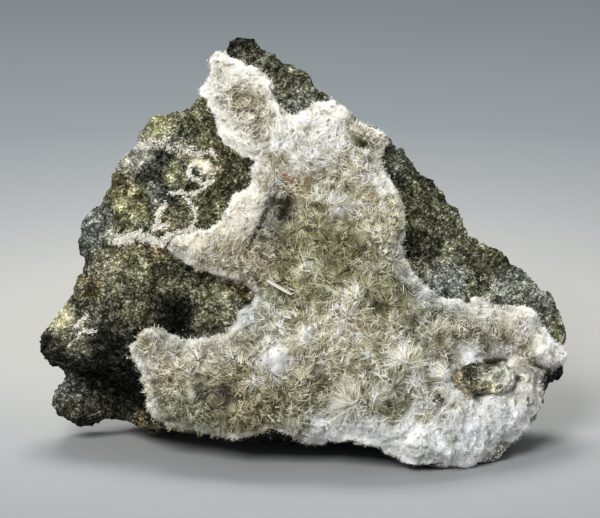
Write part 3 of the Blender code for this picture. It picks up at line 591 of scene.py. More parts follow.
# Fans that stand out: X and Y of the foot, reach, lean across and up, and colour
FANS = {
    "upper fan": (15.2, 50.8, 4.2, 0.0, -1.2, "e0d8b4"),
    "long strands": (10.2, 48.8, 4.8, -0.1, -1.6, "cdc69e"),
    "strands to the right": (5.4, 52.0, 5.0, 1.4, -0.5, "d2cbad"),
    "strands to the left": (12.0, 33.6, 5.0, -1.6, 0.3, "cbc5aa"),
    "right strands": (18.4, 41.6, 4.6, -0.1, -1.4, "cec8b0"),
    "middle spray": (21.2, 20.6, 5.4, 0.0, 1.2, "c8c2aa"),
    "middle spray left": (20.4, 21.4, 4.6, -1.2, 0.8, "c2bca2"),
    "lower spray": (11.4, 13.2, 6.2, -1.0, 0.8, "b6b19a"),
    "lower spray left": (10.4, 13.4, 5.8, -1.6, 0.3, "c9c4ae"),
    "lower spray right": (14.0, 13.6, 4.6, 1.0, 0.9, "bab59e"),
    "haze": (7.4, 26.2, 3.0, 0.3, 0.0, "dedac8"),
    "haze above": (9.4, 30.0, 3.6, 0.0, 0.4, "cfc7ae"),
    "star": (-8.8, 17.8, 3.2, 0.0, -1.0, "f0ede4"),
    "star left": (-9.0, 17.8, 2.6, -1.0, -0.2, "ece8dc"),
    "lobe laths": (-21.4, 18.8, 2.6, -1.3, 0.3, "ece6d4"),
    "lobe star": (-23.4, 15.2, 2.8, 0.3, 0.3, "cfcaba"),
    "lobe strands": (-19.6, 21.6, 4.0, -1.5, 0.2, "d2c8ae"),
    "arm rays": (-10.6, 71.6, 3.4, -1.5, -0.4, "d3c9b4"),
    "arm low rays": (-9.8, 68.2, 3.4, -1.4, -0.3, "d3c9b4"),
    "arm top rays": (-13.4, 75.8, 2.8, -1.2, -0.4, "d3c9b4"),
    "saddle rays": (-1.0, 64.0, 3.4, 0.4, 0.4, "ded7c2"),
    "upper rays": (8.6, 57.4, 4.0, 0.5, -1.2, "d8d0b6"),
}

# What sets the fans off from other sprays: how far their middles are sunk as a share of their
# reach, which is less than nothing for fans, how full they are, how far their lowest needles
# stand up, how much smaller they count where others keep clear of them, how far the feet of
# their bundles are spread, and how much later their needles start
FAN_SINK = -0.08
FAN_FULLNESS = 0.45
FAN_LEAST_LIFT = 0.3
FAN_SHARE = 0.88
FAN_STRAY = 0.06
FAN_START = 0.3

# Strands that lie about on the crust, each of one bundle: how many are tried, the depth of the
# hollows that they stay out of, their length, how evenly long their needles are, how high they
# start and how steeply they rise
STRANDS = 22000
DEEPEST_STRAND = 0.5
STRAND_LENGTH = (0.9, 2.8)
STRAND_EVENNESS = (0.8, 1.0)
STRAND_START = (0.0, 0.7)
STRAND_LIFT = (0.05, 0.6)

# The size of the patches in which they lie alike, how far these turn, how far each strand strays
# from its patch's way, how many are lost in wool, how short they are at the crust's edge and over
# what width they grow longer, how wide the border of the shortest is, and how unlike in light
# they are
STRAND_PATCH = 3.2
STRAND_TURN = 2.6
STRAND_STRAY = 0.55
STRANDS_LOST_IN_WOOL = 0.8
STRAND_EDGE = (0.25, 3.4)
STRAND_BORDER = 0.6
STRAND_CONTRAST = 0.42

# Where the strands lie one way: X, Y and reach in millimetres, and the way in radians from X.
# The higher FLOW_STRENGTH is, the more firmly they keep to it.
STRAND_FLOWS = [
    (-16.0, 44.4, 3.4, 0.75), (-12.6, 47.6, 3.2, 0.95), (-10.2, 51.0, 2.6, 1.1),
    (-12.0, 43.0, 2.4, 0.8), (-10.6, 71.4, 3.4, 3.7), (-12.6, 75.4, 2.6, 3.6),
    (-8.6, 67.8, 2.6, 3.9), (-15.6, 19.6, 3.4, 3.4), (-25.0, 20.4, 2.8, 2.5),
]
FLOW_STRENGTH = 1.6

# The fringe of separate strands around the pocket: between which turns from X in radians, how
# many bundles, how far their feet are from the pocket, their length, how steeply they rise, how
# far they stray from the way out of the pocket, their colour and their lights
FRINGE_TURNS = (2.5, 4.6)
FRINGE_BUNDLES = 560
FRINGE_FEET = (1.4, 2.4)
FRINGE_LENGTH = (1.8, 3.4)
FRINGE_LIFT = (0.15, 0.7)
FRINGE_STRAY = 0.24
FRINGE_COLOUR = "f0e8d4"
FRINGE_LIGHT = (0.45, 1.1)

# The zone under the fringe, whose ground is olive and holds no other strands: between which
# turns and how far from the pocket it lies, the turn over which it fades to the sides, the shares
# of the way out over which it fades inwards and outwards, how ragged it is and in what size, and
# the ground's colour
FRINGE_ZONE_TURNS = (2.5, 3.85)
FRINGE_ZONE = (1.7, 5.0)
FRINGE_ZONE_FADES = (0.3, 0.06, 0.08)
FRINGE_ZONE_RAGGEDNESS = (0.12, 1.5)
FRINGE_GROUND = "8d8863"

# Compact white balls of needles: X, Y and reach
WHITE_BALLS = {
    "cotton ball": (-4.6, 21.4, 2.9),
    "its upper right": (-3.2, 22.6, 1.7),
    "its left": (-6.2, 20.6, 1.8),
    "its foot": (-4.0, 19.8, 1.9),
    "small ball": (2.4, 27.2, 1.3),
    "smaller ball": (1.2, 25.8, 1.2),
    "smallest ball": (0.2, 24.8, 0.9),
}

# The balls' colour and lights, how many needles a ball of BALL_FULL_REACH has, how far other
# sprays keep clear, and how near their middles the bed is raised. A needle's length and the
# place of its outer end are shares of the ball's reach, and it strays and lies as told here.
BALL_WHITE = "f3f2ee"
BALL_LIGHT = (0.70, 0.93)
BALL_NEEDLES = 5000
BALL_FULL_REACH = 2.7
BALL_CLEARANCE = 0.6
BALL_CORE = 0.7
BALL_NEEDLE_LENGTH = (0.3, 0.45)
BALL_NEEDLE_END = (0.75, 0.95)
BALL_NEEDLE_WIDTH = (0.10, 0.18)
BALL_NEEDLE_STRAY = 0.5
BALL_LOW_LYING = 0.8

# Lone crystals lying on the needles: where each starts and ends, its width and how far it lies
# above the bed
LONE_CRYSTALS = [
    ((-6.6, 37.4), (-1.6, 34.5), 0.7, 1.8),
    ((4.4, 49.4), (6.0, 48.9), 0.15, 1.5),
    ((5.2, 46.9), (6.0, 48.6), 0.15, 1.4),
    ((7.2, 46.4), (8.0, 48.2), 0.13, 1.3),
    ((-22.8, 19.8), (-21.2, 18.8), 0.22, 1.2),
    ((-23.4, 19.2), (-22.0, 18.4), 0.18, 1.2),
]
LONE_CRYSTAL_WHITE = "cfccc0"

# A lone crystal's form: how far along and how wide its sections are, how many corners they have,
# which of these is in the groove and how deep it is
CRYSTAL_SECTIONS = [(0.0, 0.25), (0.08, 0.7), (0.3, 1.0), (0.7, 1.0), (0.92, 0.7), (1.0, 0.25)]
CRYSTAL_CORNERS = 8
GROOVE_CORNER = 2
GROOVE_SHARE = 0.55

# Fuzz: short needles, most of them where the crust is woolly, and how many are kept elsewhere,
# how far they are drawn upright, how deep their feet are and how bare the crust may be under them
FUZZ_TRIES = 260000
FUZZ_KEPT = 0.08
FUZZ_LENGTH = (0.3, 0.95)
FUZZ_WIDTH = (0.05, 0.10)
FUZZ_LIGHT = (0.85, 1.15)
FUZZ_UPRIGHT = 0.3
FUZZ_SINK = 0.15
FUZZ_BAREST = 0.3

# Where one piece of needles ends and the next begins: Y of the borders in millimetres
PIECE_BORDERS = {
    "needles_lip": (-10.0, 13.0),
    "needles_belly": (13.0, 21.0),
    "needles_middle": (21.0, 34.0),
    "needles_upper": (34.0, 53.0),
    "needles_top": (53.0, 100.0),
}


def linear(code):
    """An sRGB hex colour as linear red, green and blue."""
    parts = [int(code[i : i + 2], 16) / 255 for i in (0, 2, 4)]
    return np.array([c / 12.92 if c <= 0.04045 else ((c + 0.055) / 1.055) ** 2.4 for c in parts])


def add_object(name, mesh):
    obj = bpy.data.objects.new(name, mesh)
    bpy.context.scene.collection.objects.link(obj)
    return obj


def with_modifier(obj, kind, **settings):
    """Adds one modifier and applies it."""
    modifier = obj.modifiers.new(kind.title(), kind)
    for key, value in settings.items():
        setattr(modifier, key, value)
    bpy.context.view_layer.update()
    evaluated = obj.evaluated_get(bpy.context.evaluated_depsgraph_get())
    mesh = bpy.data.meshes.new_from_object(evaluated)
    obj.modifiers.clear()
    obj.data = mesh


def node_copy(node_name, name):
    """A copy of a solid, turned into the face frame."""
    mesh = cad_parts[node_name].data.copy()
    mesh.transform(WORLD_TO_FACE)
    mesh.materials.clear()
    return add_object(name, mesh)


def make_finer(obj, voxel, smoothing):
    """Remakes a solid from fine faces, and smooths them."""
    with_modifier(obj, "REMESH", mode="VOXEL", voxel_size=voxel, adaptivity=0.0)
    with_modifier(obj, "SMOOTH", factor=0.5, iterations=smoothing)


def read_rows(items, name, width):
    """One attribute of a mesh's vertices or faces, a row for each of them."""
    values = np.empty(len(items) * width, np.float32)
    items.foreach_get(name, values)
    return values.reshape(-1, width)


def get_places(mesh):
    return read_rows(mesh.vertices, "co", 3).astype(float)


def get_normals(mesh):
    return read_rows(mesh.vertices, "normal", 3).astype(float)


def set_places(mesh, places):
    mesh.vertices.foreach_set("co", places.astype(np.float32).ravel())
    mesh.update()


def held_in(places, low, high):
    """Presses what sticks out of the solids' box back, softly, and flat at the base."""
    room = BOX_SOFTNESS * MM
    over = np.maximum(places - (high - room), 0.0)
    under = np.maximum((low + room) - places, 0.0)
    under[:, 2] = 0.0
    places = places - over + 2 * room * (1.0 - np.exp(-over / (2 * room)))
    places = places + under - 2 * room * (1.0 - np.exp(-under / (2 * room)))
    places[:, 2] = np.maximum(places[:, 2], low[2])
    return places


def stand_up(obj, replaced, material):
    """Turns a finished piece into the model's frame, gives it its material, attaches it to the root and
    hides the solid that it replaces.
    """
    obj.data.transform(FACE_TO_WORLD)
    low, high = (np.array(corner) for corner in CAD_BOX)
    set_places(obj.data, held_in(get_places(obj.data), low, high))
    obj.data.materials.append(material)
    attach(obj, "root")
    if replaced:
        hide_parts(replaced)


def unit(vectors):
    return vectors / np.linalg.norm(vectors, axis=1, keepdims=True)


def step_up(values):
    """A smooth rise from 0 to 1 of each value."""
    held = np.clip(values, 0.0, 1.0)
    return held * held * (3.0 - 2.0 * held)


def noise_at(places, size, number=0):
    """Smooth noise from -1 to 1 at each place, with lumps of the given size."""
    moved = places / size + np.array(NOISE_SHIFT) * number
    return np.array([noise.noise(place) for place in moved.tolist()])


def stray_at(places, by, size, number):
    """How far each place strays in X and Y, in bends of the given size."""
    across, up = noise_at(places, size, number), noise_at(places, size, number + 1)
    return by * np.column_stack([across, up])


def patches_at(places, patches, number):
    """The sum at each place of patches of noise, each given by its size and strength."""
    total = np.zeros(len(places))
    for size, strength in patches:
        total += strength * noise_at(places, size, number)
    return total


def chips_at(places, size, lean):
    """Flat facets at each place, each with its own lean, like chips broken off."""
    half = Vector((0.5, 0.5, 0.5))
    heights = []
    for place in (places / size).tolist():
        middle = noise.voronoi(place)[1][0]
        tilt = noise.cell_vector(middle * CHIP_SHUFFLE) - half
        heights.append(tilt.dot(Vector(place) - middle))
    return np.array(heights) * size * lean


def relief_at(places, lumps, chips):
    """Rough relief at each place, all in millimetres."""
    total = np.zeros(len(places))
    for number, (size, height) in enumerate(lumps):
        total += height * noise_at(places, size, number + 1)
    for size, lean in chips:
        total += chips_at(places, size, lean)
    return total


def line_distance(places, line):
    """Distance in X and Y from each place to an open line."""
    nearest = np.full(len(places), np.inf)
    for start, end in zip(np.array(line), np.array(line[1:])):
        run = end - start
        from_start = places[:, :2] - start
        along = np.clip(from_start @ run / (run @ run), 0.0, 1.0)
        nearest = np.minimum(nearest, np.linalg.norm(from_start - along[:, None] * run, axis=1))
    return nearest


def nearness(places, x, y, reach):
    """1 at a point of the face, fading to 0 at about twice the reach."""
    gaps = (places[:, 0] - x) ** 2 + (places[:, 1] - y) ** 2
    return np.exp(-gaps / (reach * reach))


def dented(places, dents):
    """The places, moved across and up by the dents around them."""
    moved = places.copy()
    for x, y, reach, across, up in dents.values():
        moved[:, :2] += np.outer(nearness(places, x, y, reach), (across, up))
    return moved


def deepening(places):
    """How far the hollows and openings sink the surface at each place."""
    depth = np.zeros(len(places))
    for line, most, half_width in DEEP_HOLLOWS.values():
        depth += most * np.exp(-((line_distance(places, line) / half_width) ** 2))
    for x, y, reach, most in OPENINGS:
        depth += most * nearness(places, x, y, reach)
    return depth


def pocket_reach(places, gap):
    """How far each place is from the pocket's middle: 1 on a line at a gap from the pocket."""
    across, up = ((places[:, :2] - POCKET_MIDDLE) / (np.array(POCKET_HALF) + gap)).T
    return np.hypot(across, up)


def pocket_share(places):
    """How far each place is in the pocket: 0 outside, 1 inside."""
    ragged = POCKET_EDGE * noise_at(places * (1.0, 1.0, 0.0), POCKET_RAGGEDNESS, 12)
    return step_up((1.0 - pocket_reach(places, 0.0) + ragged) / POCKET_EDGE)


def fringe_share(places):
    """1 in the zone under the fringe of the pocket, fading to 0 around it."""
    least, most = FRINGE_ZONE
    first, last = FRINGE_ZONE_TURNS
    turn_fade, inner_fade, outer_fade = FRINGE_ZONE_FADES
    height, size = FRINGE_ZONE_RAGGEDNESS
    gaps = places[:, :2] - POCKET_MIDDLE
    turns = np.arctan2(gaps[:, 1], gaps[:, 0]) % math.tau
    inside = np.minimum(turns - first, last - turns) / turn_fade
    ragged = height * noise_at(places, size, 18)
    inside = np.minimum(inside, (pocket_reach(places, least) - 1.0) / inner_fade)
    inside = np.minimum(inside, (1.0 - pocket_reach(places, most) + ragged) / outer_fade)
    return step_up(inside)


def bare_share(places):
    """How bare of needles the crust is at each place, from 0 to 1."""
    share = pocket_share(places)
    for x, y, reach in BARE_PATCHES:
        share = np.maximum(share, nearness(places, x, y, reach))
    return share


def shaded_and_rusted(places, colours):
    """The colours at each place, with painted shade in the hollows, openings and specks, darker where
    they are deeper, and rusty at the rust spots.
    """
    size, least, edge, most = PAINTED_SHADE_SPECKS
    depth = deepening(places) + most * step_up((noise_at(places, size, 17) - least) / edge)
    colours = colours * np.exp(-np.outer(depth, HOLLOW_PAINTED_SHADE))
    for x, y, reach in RUST_SPOTS:
        share = np.minimum(RUST_MOST, RUST_STRENGTH * nearness(places, x, y, reach))[:, None]
        colours = colours * (1.0 - share) + linear(RUST) * share
    return colours


def blend_local(places, named, default, default_weight):
    """At each place, a blend of the named values around it and of a default."""
    total = np.array(default) * np.broadcast_to(default_weight, len(places))[:, None]
    weight = np.broadcast_to(default_weight, len(places)).copy()
    for x, y, reach, *values in named:
        share = nearness(places, x, y, reach)
        total = total + share[:, None] * np.array(values)
        weight += share
    return total / weight[:, None]


def stone_tints(places):
    """Local colour of the stone at each place."""
    named = [(x, y, reach, *linear(code)) for x, y, reach, code in STONE_TINTS.values()]
    strayed = places.copy()
    strayed[:, :2] += stray_at(places, *TINT_STRAY, 3)
    behind = step_up((BACK_START - places[:, 2]) / BACK_FADE)
    least, more = DEFAULT_WEIGHT
    tints = blend_local(strayed, named, linear(STONE_DEFAULT), least + more * behind)
    return tints * np.exp(patches_at(places, STONE_PATCHES, 5))[:, None]


def crust_tints(places):
    """Local colour of the crust and how woolly it is, at each place."""
    named = [
        (x, y, reach, *linear(code), wool) for x, y, reach, code, wool in CRUST_TINTS.values()
    ]
    blended = blend_local(places, named, (*linear(RIM_WHITE), 1.0), RIM_WEIGHT)
    size, strength = WOOL_PATCHES
    wool = np.clip(blended[:, 3] + strength * noise_at(places, size, 16), 0.0, 1.0)
    fringe = fringe_share(places)
    ground = np.outer(fringe, linear(FRINGE_GROUND))
    return blended[:, :3] * (1.0 - fringe)[:, None] + ground, wool * (1.0 - fringe)


def whitened(tint, inward):
    """The tints, drawn towards white near the crust's edge."""
    share = RIM_WHITENESS * (1.0 - inward)[:, None]
    return tint * (1.0 - share) + linear(RIM_WHITE) * share


def velvet(places, wool):
    """Light and dark patches, like brushed velvet, but faint where the crust is woolly."""
    patches = patches_at(places, VELVET_PATCHES, 11) * (1.0 - VELVET_LOST_IN_WOOL * wool)
    return np.exp(patches)[:, None] * (1.0 + np.array(VELVET_HUE)) ** patches[:, None]


def paint(mesh, name, colours):
    """Stores a colour for each vertex."""
    layer = mesh.color_attributes.new(name, "FLOAT_COLOR", "POINT")
    rgba = np.ones((len(colours), 4), np.float32)
    rgba[:, :3] = colours
    layer.data.foreach_set("color", rgba.ravel())


def vein_share(places):
    """How much of the surface at each place is pale with fine grains, from 0 to 1."""
    share = np.zeros(len(places))
    strayed = places.copy()
    strayed[:, :2] += stray_at(places, *VEIN_WINDING, 1)
    for line, half_width, fullness in VEINS.values():
        reach = line_distance(strayed, line)
        fade = np.exp(-((reach / (half_width + VEIN_EDGE)) ** 4))
        share = np.maximum(share, min(1.0, fullness) * fade)
    return share * (places[:, 2] > VEINS_BACK)


def make_stone():
    """The basalt: the solid's form with chips, lumps and grains."""
    obj = node_copy("basalt_matrix", "basalt")
    make_finer(obj, STONE_VOXEL, STONE_SMOOTHING)
    places, normals = get_places(obj.data), get_normals(obj.data)
    chance = np.random.default_rng(STONE_SEED)
    push = relief_at(places, STONE_LUMPS, STONE_CHIPS)
    push += chance.normal(0.0, STONE_GRAIN, len(places))
    up = np.array(FACE_TO_WORLD)[2]
    above_base = (places @ up[:3] + up[3]) / MM
    push *= step_up(above_base / BASE_BLEND)
    moved = places + normals * push[:, None]
    moved[:, 2] += POCKET_RISE * pocket_share(places) - deepening(places)
    set_places(obj.data, dented(moved, STONE_DENTS))
    tints, vein = stone_tints(places), vein_share(places)
    contrast = np.clip(1.0 - PALE_STONE_CALM * tints.mean(axis=1), CALMEST_GRAINS, 1.0)
    paint(obj.data, "stone_tint", tints)
    paint(obj.data, "vein_and_contrast", np.column_stack([vein, contrast, vein]))
    return obj


def rim_points(mesh):
    """The crust's edge as seen from the front: points close together, from its upright sides."""
    points = []
    for face in mesh.polygons:
        corners = [mesh.vertices[i].co.to_2d() for i in face.vertices]
        gaps = [(corner - corners[i - 1]).length for i, corner in enumerate(corners)]
        if min(gaps) < UPRIGHT_EDGE < max(gaps):
            widest = gaps.index(max(gaps))
            start, end = corners[widest - 1], corners[widest]
            points += [start.lerp(end, step / RIM_STEPS) for step in range(RIM_STEPS + 1)]
    tree = kdtree.KDTree(len(points))
    for number, point in enumerate(points):
        tree.insert(point.to_3d(), number)
    tree.balance()
    return tree


def rim_distance(places, rim):
    return np.array([rim.find((x, y, 0.0))[2] for x, y in places[:, :2].tolist()])


def make_bed():
    """The crust that the needles stand on, with its edge thin and ragged."""
    obj = node_copy("mordenite_crust", "crust_bed")
    rim = rim_points(obj.data)
    make_finer(obj, CRUST_VOXEL, CRUST_SMOOTHING)
    places, normals = get_places(obj.data), get_normals(obj.data)
    moved = places + normals * relief_at(places, BED_LUMPS, [])[:, None]
    upright = 1.0 - np.abs(normals[:, 2])
    moved[:, :2] += normals[:, :2] * (BED_WIDENING * upright)[:, None]
    for size, height in BED_RAGGEDNESS:
        moved[:, :2] += stray_at(places, height, size, 9)
    least, most = RIM_SINK
    share = step_up(RIM_SINK_USUAL + RIM_SINK_CHANGE * noise_at(places, RIM_STRETCH, 6))
    sink = least + (most - least) * share
    inward = step_up(rim_distance(places, rim) / RIM_FADE)
    moved[:, 2] -= sink * (1.0 - inward) + deepening(places)
    moved[:, 2] -= POCKET_DEPTH * pocket_share(places)
    gap, width, height = POCKET_RIM
    moved[:, 2] += height * np.exp(-(((pocket_reach(places, gap) - 1.0) / width) ** 2))
    set_places(obj.data, dented(moved, CRUST_DENTS))
    return obj, rim


def surface_tree(obj):
    return BVHTree.FromObject(obj, bpy.context.evaluated_depsgraph_get())


def seen_at(tree, x, y):
    """The surface straight behind a point of the face, and its normal."""
    return tree.ray_cast(Vector((x, y, LOOK_START)), Vector((0.0, 0.0, -1.0)))[:2]


def front_at(tree, x, y):
    """The same as two arrays, where there is a surface."""
    place, normal = seen_at(tree, x, y)
    return np.array(place), np.array(normal)


def add_many(name, corners, pattern):
    """One mesh of many small forms that share the same pattern of triangles."""
    count, size = corners.shape[:2]
    faces = (np.arange(count)[:, None, None] * size + pattern).reshape(-1, 3)
    mesh = bpy.data.meshes.new(name)
    mesh.vertices.add(count * size)
    mesh.vertices.foreach_set("co", corners.ravel())
    mesh.loops.add(faces.size)
    mesh.loops.foreach_set("vertex_index", faces.ravel())
    mesh.polygons.add(len(faces))
    mesh.polygons.foreach_set("loop_start", np.arange(0, faces.size, 3))
    mesh.update(calc_edges=True)
    return add_object(name, mesh)


def vein_grain_places(chance):
    """X and Y of the grains that stand on the veins."""
    places = []
    for line, half_width, fullness in VEINS.values():
        for start, end in zip(np.array(line), np.array(line[1:])):
            area = np.linalg.norm(end - start) * half_width * 2
            count = int(area * fullness * GRAINS_PER_SQUARE) + 1
            along = chance.uniform(size=(count, 1))
            strays = chance.normal(0.0, half_width * 0.5, (count, 2))
            places.append(start + (end - start) * along + strays)
    places = np.concatenate(places)
    flat = np.column_stack([places, np.zeros(len(places))])
    return places + stray_at(flat, *VEIN_WINDING, 1)


def strewn_grain_places(stone, rim, chance):
    """X and Y of the grains strewn beside the crust, fewer of them further from it."""
    behind = get_places(stone.data)[:, :2]
    tried = chance.uniform(behind.min(axis=0), behind.max(axis=0), (STREWN_TRIES, 2))
    nearby = np.exp(-rim_distance(tried, rim) / STREWN_REACH)
    return tried[chance.uniform(size=STREWN_TRIES) < nearby]


def make_grains(stone, rim, material):
    """White grains of mordenite on the stone, each a small crystal with eight faces."""
    chance = np.random.default_rng(GRAIN_SEED)
    places = [vein_grain_places(chance), strewn_grain_places(stone, rim, chance)]
    places = np.concatenate(places)
    sizes = chance.uniform(*GRAIN_SIZE, len(places))
    colours = linear(VEIN_WHITE) * chance.uniform(*WHITE_GRAIN_LIGHT, (len(places), 1))
    tree = surface_tree(stone)
    seen = [seen_at(tree, x, y) for x, y in places.tolist()]
    kept = [i for i, (place, normal) in enumerate(seen) if place is not None and normal.z > LEAST_FACING]
    places = np.array([seen[i][0] for i in kept])
    turned = unit(chance.normal(size=(len(kept), 3)))
    across = unit(np.cross(turned, unit(chance.normal(size=(len(kept), 3)))))
    third = np.cross(turned, across)
    ways = np.stack([turned, -turned, across, -across, third, -third], axis=1)
    lengths = sizes[kept][:, None, None] * chance.uniform(*GRAIN_UNEVENNESS, (len(kept), 6, 1))
    corners = places[:, None, :] + ways * lengths
    pattern = [(0, 2, 4), (2, 1, 4), (1, 3, 4), (3, 0, 4), (2, 0, 5), (1, 2, 5), (3, 1, 5), (0, 3, 5)]
    obj = add_many("mordenite_grains", corners, np.array(pattern))
    colours = np.clip(colours[kept], 0.0, BRIGHTEST_GRAIN)
    paint(obj.data, "needle_tint", np.repeat(colours, 6, axis=0))
    stand_up(obj, None, material)


def raise_balls(bed):
    """Lifts the bed to a core for each white ball."""
    tree = surface_tree(bed)
    places = get_places(bed.data)
    for x, y, reach in WHITE_BALLS.values():
        gap = places - front_at(tree, x, y)[0]
        aside = np.einsum("ij,ij->i", gap[:, :2], gap[:, :2])
        inside = (aside < (BALL_CORE * reach) ** 2) & (np.abs(gap[:, 2]) < DOME_HEIGHT)
        top = np.sqrt((BALL_CORE * reach) ** 2 - aside[inside])
        places[inside, 2] += np.maximum(top - gap[inside, 2], 0.0)
    set_places(bed.data, places)


def raise_domes(mesh, sprays):
    """Lifts the bed to a dome under each spray, and tells how near a dome's top each place is."""
    places = get_places(mesh)
    tops = np.zeros(len(places))
    for place, normal, reach, _, wool, fan in zip(*sprays):
        if fan:
            continue
        share = DOME_SHARE + (WOOLLY_DOME_SHARE - DOME_SHARE) * wool
        gap = places - place
        out = gap @ normal
        aside = np.einsum("ij,ij->i", gap, gap) - out**2
        inside = (aside < (share * reach) ** 2) & (np.abs(out) < DOME_HEIGHT)
        top = np.sqrt((share * reach) ** 2 - aside[inside]) - SPRAY_SINK * reach
        lift = np.maximum(top - out[inside], 0.0)
        places[inside] += normal * lift[:, None]
        tops[inside] = np.maximum(tops[inside], 1.0 - aside[inside] / (share * reach) ** 2)
    set_places(mesh, places)
    return tops


def paint_bed(mesh, rim, tops):
    """White and broken at its rim, and khaki further in, darkened by painted shade between the sprays
    and most in the creases between their domes.
    """
    places = get_places(mesh)
    tint, wool = crust_tints(places)
    ragged = noise_at(places, RIM_RAGGEDNESS, 7)
    inward = step_up((rim_distance(places, rim) + ragged) / RIM_WIDTH)
    wool = 1.0 - inward * (1.0 - wool)
    # Painted shade: darkest in the creases between the domes, lighter towards their tops
    shade = GAP_SHADE + (DOME_SHADE - GAP_SHADE) * tops
    gaps = tint**GAP_DEPTH_OF_COLOUR * shade[:, None] * velvet(places, wool)
    colours = gaps * (1.0 - wool)[:, None] + whitened(tint, inward) * wool[:, None]
    paint(mesh, "crust_tint", shaded_and_rusted(places, colours))


def front_points(mesh, count, chance):
    """Random places on the bed's front, with their normals, spread evenly by area."""
    areas = read_rows(mesh.polygons, "area", 1).ravel()
    normals = read_rows(mesh.polygons, "normal", 3)
    places = read_rows(mesh.polygons, "center", 3)
    areas[normals[:, 2] < LEAST_FACING] = 0.0
    chosen = chance.choice(len(areas), count, p=areas / areas.sum())
    strays = chance.uniform(-PLACE_STRAY, PLACE_STRAY, (count, 3))
    return places[chosen] + strays, normals[chosen].astype(float)


def fan_sprays(tree):
    """The fans, each as a place, way, reach, colour, woolliness and 1 for a fan."""
    fans = []
    for x, y, reach, across, up, code in FANS.values():
        place, normal = front_at(tree, x, y)
        way = normal + (across, up, 0.0)
        fans.append((place, way / np.linalg.norm(way), reach, linear(code), 0.0, 1.0))
    return fans


def spread_sprays(bed, rim, chance):
    """Places, ways, reaches, colours and woolliness of the sprays, and which of them are fans."""
    sprays = fan_sprays(surface_tree(bed))
    tried, normals = front_points(bed.data, SPRAY_TRIES, chance)
    tints, wool = crust_tints(tried)
    kept = deepening(tried) < DEEPEST_SPRAY
    kept &= bare_share(tried) + fringe_share(tried) < 0.5
    for x, y, reach in WHITE_BALLS.values():
        kept &= np.hypot(tried[:, 0] - x, tried[:, 1] - y) > reach + BALL_CLEARANCE
    usual, change, region, stray = SPRAY_VARIETY
    size = usual + change * noise_at(tried, region, 8) + chance.normal(0.0, stray, len(tried))
    low, high = SPRAY_REACH
    least, fade = SPRAY_EDGE
    reach = low + (high - low) * np.clip(size, 0.0, 1.0)
    reach *= least + (1.0 - least) * step_up(rim_distance(tried, rim) / fade)
    reach *= 1.0 - SPRAY_SIZE_LOST_IN_WOOL * wool
    bright = chance.uniform(*SPRAY_LIGHT, len(tried))
    ways = unit(normals + SPRAY_TILT * chance.normal(size=normals.shape))
    for i in np.flatnonzero(kept):
        gaps = np.linalg.norm(np.array([spray[0] for spray in sprays]) - tried[i], axis=1)
        reaches = np.array([spray[2] * (1.0 - FAN_SHARE * spray[5]) for spray in sprays])
        if np.all(gaps > SPRAY_SPACING * (reaches + reach[i])):
            sprays.append((tried[i], ways[i], reach[i], tints[i] * bright[i], wool[i], 0.0))
    return tuple(np.array(part) for part in zip(*sprays))


def around(normals, chance, low_lying=LOW_LYING, least_lift=0.0):
    """Random directions around each normal, more of them lying low, down to the least lift."""
    count = len(normals)
    helper = unit(chance.normal(size=(count, 3)))
    side = unit(np.cross(normals, helper))
    lift = chance.uniform(0.0, 1.0, (count, 1)) ** low_lying
    lift = np.reshape(least_lift, (-1, 1)) * (1.0 - lift) + lift
    return normals * lift + side * np.sqrt(1.0 - lift**2)


def shaded_side(normals):
    """The normals, drawn towards the front of the crust."""
    return unit(normals * (1.0 - FRONT_SHARE) + np.array((0.0, 0.0, FRONT_SHARE)))


def in_bundles(ways, chance):
    """Which bundle each needle is in, and its direction, close to its bundle's way."""
    bundle = np.repeat(np.arange(len(ways)), NEEDLES_PER_BUNDLE)
    return bundle, unit(ways[bundle] + chance.normal(0.0, BUNDLE_SPREAD, (len(bundle), 3)))


def spray_needles(sprays, chance):
    """Start, direction, length, width, colour and outer side of every needle of the sprays."""
    places, normals, reaches, colours, wool, fan = sprays
    fullness = (1.0 - BUNDLES_LOST_IN_WOOL * wool) * (1.0 - (1.0 - FAN_FULLNESS) * fan)
    bundles = (BUNDLES_PER_SQUARE * reaches**2 * fullness).astype(int)
    spray = np.repeat(np.arange(len(places)), bundles)
    least_lift = SPRAY_LEAST_LIFT + (FAN_LEAST_LIFT - SPRAY_LEAST_LIFT) * fan[spray]
    ways = around(normals[spray], chance, least_lift=least_lift)
    ways[:, 2] = np.abs(ways[:, 2])
    strays = chance.normal(size=ways.shape) * (FAN_STRAY * fan * reaches)[spray][:, None]
    bundle_length = chance.uniform(*BUNDLE_LENGTH, len(spray))
    bundle_light = chance.uniform(*BUNDLE_LIGHT, len(spray))
    bundle, direction = in_bundles(ways, chance)
    spray = spray[bundle]
    count = len(bundle)
    length = reaches[spray] * bundle_length[bundle] * chance.uniform(*NEEDLE_LENGTH, count)
    sink = reaches * (SPRAY_SINK + (FAN_SINK - SPRAY_SINK) * fan)
    sunk = places[spray] - normals[spray] * sink[spray][:, None] + strays[bundle]
    begin = chance.uniform(*NEEDLE_START, count)
    begin += fan[spray] * chance.uniform(0.0, FAN_START, count)
    start = sunk + direction * (length * begin)[:, None]
    width = chance.uniform(*NEEDLE_WIDTH, count)
    light = bundle_light[bundle] * chance.uniform(*NEEDLE_LIGHT, count) * NEEDLE_GAIN
    colour = colours[spray] ** NEEDLE_PALENESS * light[:, None]
    return start, direction, length * (1.0 - begin), width, colour, shaded_side(normals[spray])


